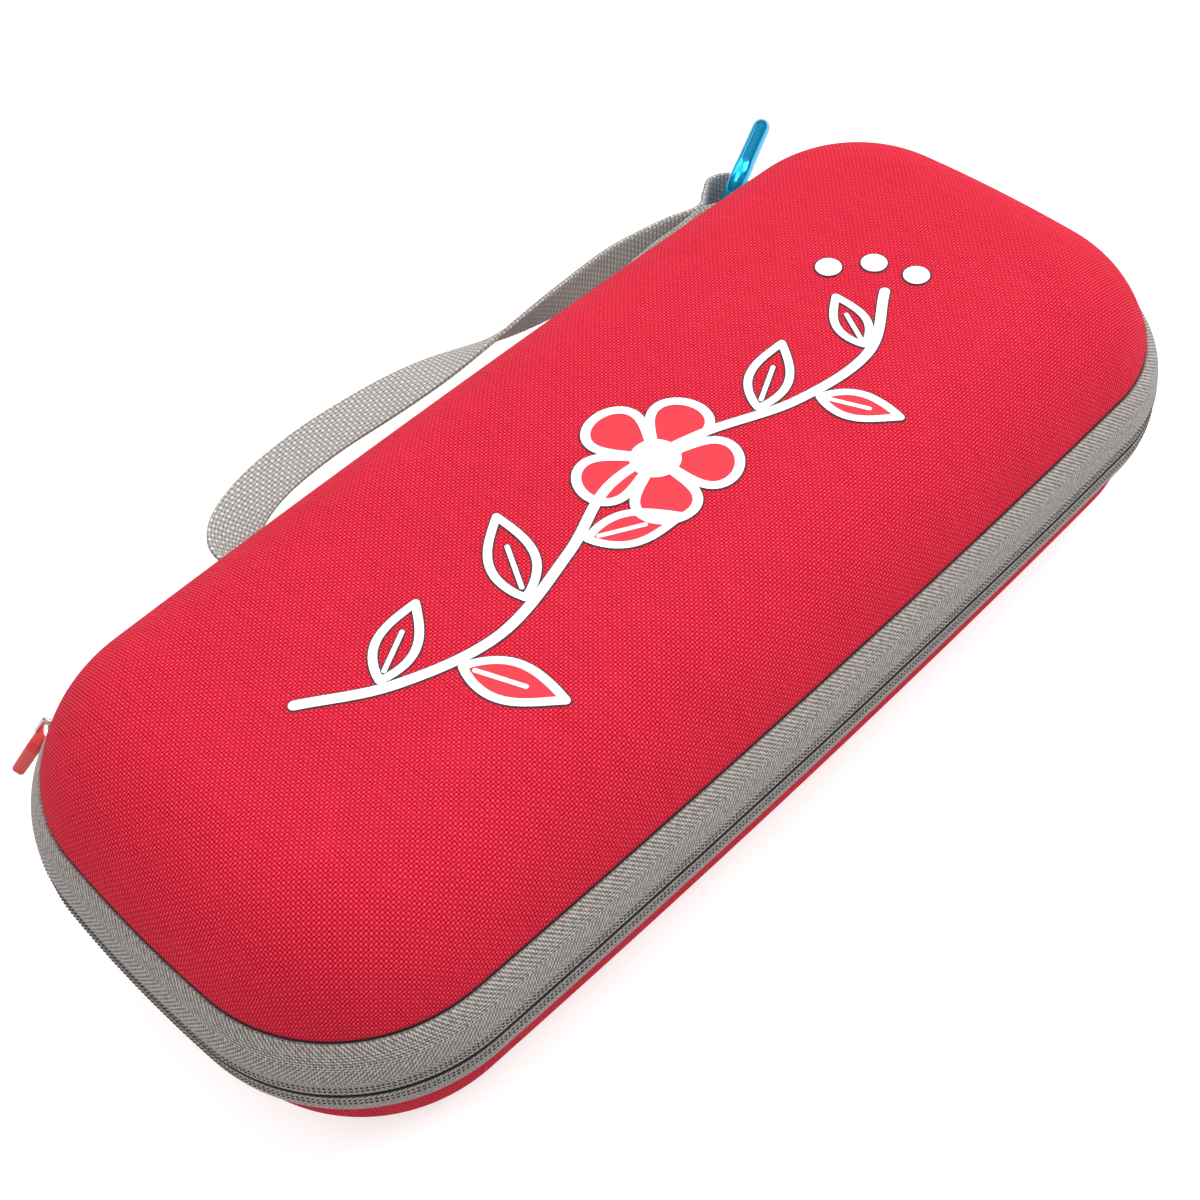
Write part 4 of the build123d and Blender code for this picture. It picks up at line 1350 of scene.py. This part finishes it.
# ---- print on the lid --------------------------------------------------------------------
class Ink:
    """Flat shapes in plan that are laid over the lid as a thin closed film."""

    def __init__(self, surface):
        self.surface = surface
        self.points, self.faces, self.lifts = [], [], []
        self.shapes = 0

    def begin(self):
        """Start a shape a little above the one before, so that crossing shapes never share a face."""
        self.lifts += [self.shapes * 0.003 * MM] * (len(self.points) - len(self.lifts))
        self.shapes += 1
        return len(self.points)

    def ribbon(self, line, wide):
        """Line of even width with round ends."""
        start = self.begin()
        for i, p in enumerate(line):
            along = (line[min(i + 1, len(line) - 1)] - line[max(i - 1, 0)]).normalized()
            side = Vector((-along.y, along.x)) * (wide / 2)
            self.points += [p + side, p - side]
        for i in range(len(line) - 1):
            k = start + 2 * i
            self.faces.append((k, k + 1, k + 3, k + 2))
        for end, p in ((0, line[0]), (len(line) - 1, line[-1])):
            along = (line[1] - line[0] if end == 0 else line[-2] - line[-1]).normalized()
            side = Vector((-along.y, along.x))
            first = len(self.points)
            for k in range(9):
                t = pi * k / 8
                self.points.append(p + (side * cos(t) - along * sin(t)) * (wide / 2))
            self.faces.append(list(range(first, first + 9)))

    def filled(self, line):
        """Closed line filled with rings towards its middle."""
        middle = sum(line, Vector((0, 0))) / len(line)
        count, rings = len(line), 5
        start = self.begin()
        for ring in range(rings):
            self.points += [p.lerp(middle, ring / rings) for p in line]
        for ring in range(rings - 1):
            a, b = start + ring * count, start + (ring + 1) * count
            for i in range(count):
                j = (i + 1) % count
                self.faces.append((a + i, a + j, b + j, b + i))
        self.points.append(middle)
        last = start + (rings - 1) * count
        for i in range(count):
            self.faces.append((last + i, last + (i + 1) % count, len(self.points) - 1))

    def make(self, name, look, lift, thick=0.05 * MM):
        """The film as an object on the lid."""
        self.begin()
        work = bmesh.new()
        top = []
        for p, rise in zip(self.points, self.lifts):
            hit = self.surface.ray_cast(Vector((p.x, p.y, 0.2)), Vector((0, 0, -1)))[0]
            top.append(work.verts.new((p.x, p.y, hit.z + lift + rise)))
        for face in self.faces:
            made = work.faces.new([top[i] for i in face])
            made.normal_update()
            if made.normal.z < 0:
                made.normal_flip()
        layer = work.loops.layers.uv.new("UVMap")
        below = bmesh.ops.duplicate(work, geom=work.verts[:] + work.edges[:] + work.faces[:])
        twin = below["vert_map"]
        upper = set(top)
        edges = [e for e in work.edges if e.is_boundary and e.verts[0] in twin and e.verts[0] in upper]
        for vert in top:
            twin[vert].co.z -= thick
        for face in [f for f in below["geom"] if isinstance(f, bmesh.types.BMFace)]:
            face.normal_flip()
        for edge in edges:
            a, b = edge.verts
            work.faces.new((a, b, twin[b], twin[a]))
        bmesh.ops.recalc_face_normals(work, faces=work.faces)
        for face in work.faces:
            for loop in face.loops:
                loop[layer].uv = loop.vert.co.xy
        mesh = bpy.data.meshes.new(name)
        work.to_mesh(mesh)
        work.free()
        obj = linked(name, mesh)
        return finish(obj, material(look), "lid", "cover_cloth")


def almond(root, tip, wide):
    """Leaf outline between two points."""
    along = tip - root
    side = Vector((-along.y, along.x)).normalized()
    line = []
    for k in range(17):
        t = k / 16
        line.append(root + along * t + side * (wide / 2 * sin(pi * t ** 0.85)))
    for k in range(15, 0, -1):
        t = k / 16
        line.append(root + along * t - side * (wide / 2 * sin(pi * t ** 0.85)))
    return line


def petal(centre, angle, reach):
    """Rounded petal that starts beside the flower's centre."""
    line = []
    for k in range(25):
        t = k / 24
        swing = radians(33) * sin(pi * (t - 0.5))
        r = reach * (0.26 + 0.74 * sin(pi * t) ** 0.55)
        line.append(centre + Vector((cos(angle + swing), sin(angle + swing))) * r)
    return line


def ring_line(centre, r, count=40):
    """Circle of points."""
    return [centre + Vector((cos(2 * pi * k / count), sin(2 * pi * k / count))) * r for k in range(count)]


def make_print():
    """Plain sprig, flower and berries in raised ink on the lid."""
    surface = BVHTree.FromObject(bpy.data.objects["lid_cloth"], bpy.context.evaluated_depsgraph_get())
    edge, red, white = Ink(surface), Ink(surface), Ink(surface)
    wide, rim = 2.4 * MM, 0.7 * MM

    def stroke(line, width=wide):
        edge.ribbon(line, width + rim)
        white.ribbon(line, width)

    stem = [Vector(p) * MM for p in smooth_line(
        [(-91, 3), (-74, -8), (-52, -14), (-28, -9), (-8, -2), (14, -6), (36, -15), (58, -17), (76, -7)], 14)]
    stroke(stem)
    for at, turn, size in (
        (0.10, 58, 20), (0.19, -52, 22), (0.30, 50, 23), (0.40, -50, 20), (0.70, 52, 21),
        (0.77, -55, 18), (0.88, 50, 17),
    ):
        k = int(at * (len(stem) - 1))
        along = (stem[k + 1] - stem[k - 1]).normalized()
        t = radians(turn)
        way = Vector((along.x * cos(t) - along.y * sin(t), along.x * sin(t) + along.y * cos(t)))
        root = stem[k] + way * 2.5 * MM
        leaf = almond(root, root + way * size * MM, size * 0.42 * MM)
        stroke(leaf[:17], 1.9 * MM)
        stroke(leaf[16:] + leaf[:1], 1.9 * MM)
        if turn < 0:
            red.filled(leaf)
        stroke([root + way * size * MM * f for f in (0.12, 0.35, 0.62)], 1.1 * MM)
    centre = Vector((3, -4)) * MM
    for k in range(5):
        line = petal(centre, radians(90 + 72 * k), 18 * MM)
        red.filled(line)
        stroke(line, 2.2 * MM)
    white.filled(ring_line(centre, 5.6 * MM))
    for x, y in ((82, 1), (74, 8), (85, -9)):
        berry = Vector((x, y)) * MM
        edge.filled(ring_line(berry, 3.5 * MM, 24))
        white.filled(ring_line(berry, 3.1 * MM, 24))
    edge.make("print_edges", "print_line", 0.02 * MM)
    red.make("print_fills", "print_red", 0.14 * MM)
    white.make("print_lines", "print_white", 0.20 * MM)


# ---- add-on ------------------------------------------------------------------------------
class CASE_OT_covers(bpy.types.Operator):
    """Lay the outer cloth over both halves"""
    bl_idname = "case.covers"
    bl_label = "Cover cloth"

    def execute(self, context):
        make_covers()
        return {"FINISHED"}


class CASE_OT_inner_shells(bpy.types.Operator):
    """Build the foam and the lining of both halves"""
    bl_idname = "case.inner_shells"
    bl_label = "Foam and lining"

    def execute(self, context):
        make_inner_shells()
        return {"FINISHED"}


class CASE_OT_bindings(bpy.types.Operator):
    """Fold the cloth strip over both rims"""
    bl_idname = "case.bindings"
    bl_label = "Rim binding"

    def execute(self, context):
        make_bindings()
        return {"FINISHED"}


class CASE_OT_tapes(bpy.types.Operator):
    """Lay the zip tape and its stitching round both halves"""
    bl_idname = "case.tapes"
    bl_label = "Zip tape"

    def execute(self, context):
        make_tapes()
        return {"FINISHED"}


class CASE_OT_spine(bpy.types.Operator):
    """Join the halves with the cloth spine"""
    bl_idname = "case.spine"
    bl_label = "Spine cloth"

    def execute(self, context):
        make_spine()
        return {"FINISHED"}


class CASE_OT_coils(bpy.types.Operator):
    """Wind the coil of both halves"""
    bl_idname = "case.coils"
    bl_label = "Zip coil"

    def execute(self, context):
        make_coils()
        return {"FINISHED"}


class CASE_OT_stops(bpy.types.Operator):
    """Sew the bars at the ends of the coil"""
    bl_idname = "case.stops"
    bl_label = "Zip stops"

    def execute(self, context):
        make_stops()
        return {"FINISHED"}


class CASE_OT_strap(bpy.types.Operator):
    """Run the webbing from one sewn end to the other"""
    bl_idname = "case.strap"
    bl_label = "Carry strap"

    def execute(self, context):
        make_strap()
        return {"FINISHED"}


class CASE_OT_strap_tacks(bpy.types.Operator):
    """Sew the ends and the loop of the strap"""
    bl_idname = "case.strap_tacks"
    bl_label = "Strap stitching"

    def execute(self, context):
        make_strap_tacks()
        return {"FINISHED"}


class CASE_OT_elastics(bpy.types.Operator):
    """Lay the two elastic bands across the base"""
    bl_idname = "case.elastics"
    bl_label = "Elastic bands"

    def execute(self, context):
        make_elastics()
        return {"FINISHED"}


class CASE_OT_pocket(bpy.types.Operator):
    """Hang the net pocket in the lid"""
    bl_idname = "case.pocket"
    bl_label = "Net pocket"

    def execute(self, context):
        make_pocket()
        return {"FINISHED"}


class CASE_OT_hard_parts(bpy.types.Operator):
    """Finish the metal and moulded parts"""
    bl_idname = "case.hard_parts"
    bl_label = "Metal parts"

    def execute(self, context):
        make_hard_parts()
        return {"FINISHED"}


class CASE_OT_print(bpy.types.Operator):
    """Print the sprig, flower and berries on the lid"""
    bl_idname = "case.print"
    bl_label = "Printed sprig"

    def execute(self, context):
        make_print()
        return {"FINISHED"}


class CASE_OT_stage(bpy.types.Operator):
    """Set the floor, the lights and the camera"""
    bl_idname = "case.stage"
    bl_label = "Stage and camera"

    def execute(self, context):
        make_stage()
        return {"FINISHED"}


STEPS = [
    CASE_OT_covers,
    CASE_OT_inner_shells,
    CASE_OT_bindings,
    CASE_OT_tapes,
    CASE_OT_spine,
    CASE_OT_coils,
    CASE_OT_stops,
    CASE_OT_strap,
    CASE_OT_strap_tacks,
    CASE_OT_elastics,
    CASE_OT_pocket,
    CASE_OT_hard_parts,
    CASE_OT_print,
    CASE_OT_stage,
]


class CASE_PT_panel(bpy.types.Panel):
    """Settings and steps of the case"""
    bl_label = "Moulded zip case"
    bl_idname = "CASE_PT_panel"
    bl_space_type = "VIEW_3D"
    bl_region_type = "UI"
    bl_category = "Case"

    def draw(self, context):
        for name, kind in SETTINGS.items():
            box = self.layout.box()
            box.label(text=kind.__name__)
            for key in kind.__annotations__:
                box.prop(getattr(context.scene, name), key)
        for step in STEPS:
            self.layout.operator(step.bl_idname)


def register():
    for name, kind in SETTINGS.items():
        bpy.utils.register_class(kind)
        setattr(bpy.types.Scene, name, bpy.props.PointerProperty(type=kind))
    for step in STEPS:
        bpy.utils.register_class(step)
    bpy.utils.register_class(CASE_PT_panel)


def unregister():
    bpy.utils.unregister_class(CASE_PT_panel)
    for step in reversed(STEPS):
        bpy.utils.unregister_class(step)
    for name, kind in SETTINGS.items():
        delattr(bpy.types.Scene, name)
        bpy.utils.unregister_class(kind)


def main():
    """Build the case."""
    register()
    for step in STEPS:
        getattr(bpy.ops.case, step.bl_idname.split(".")[1])()


if __name__ == "__main__":
    main()
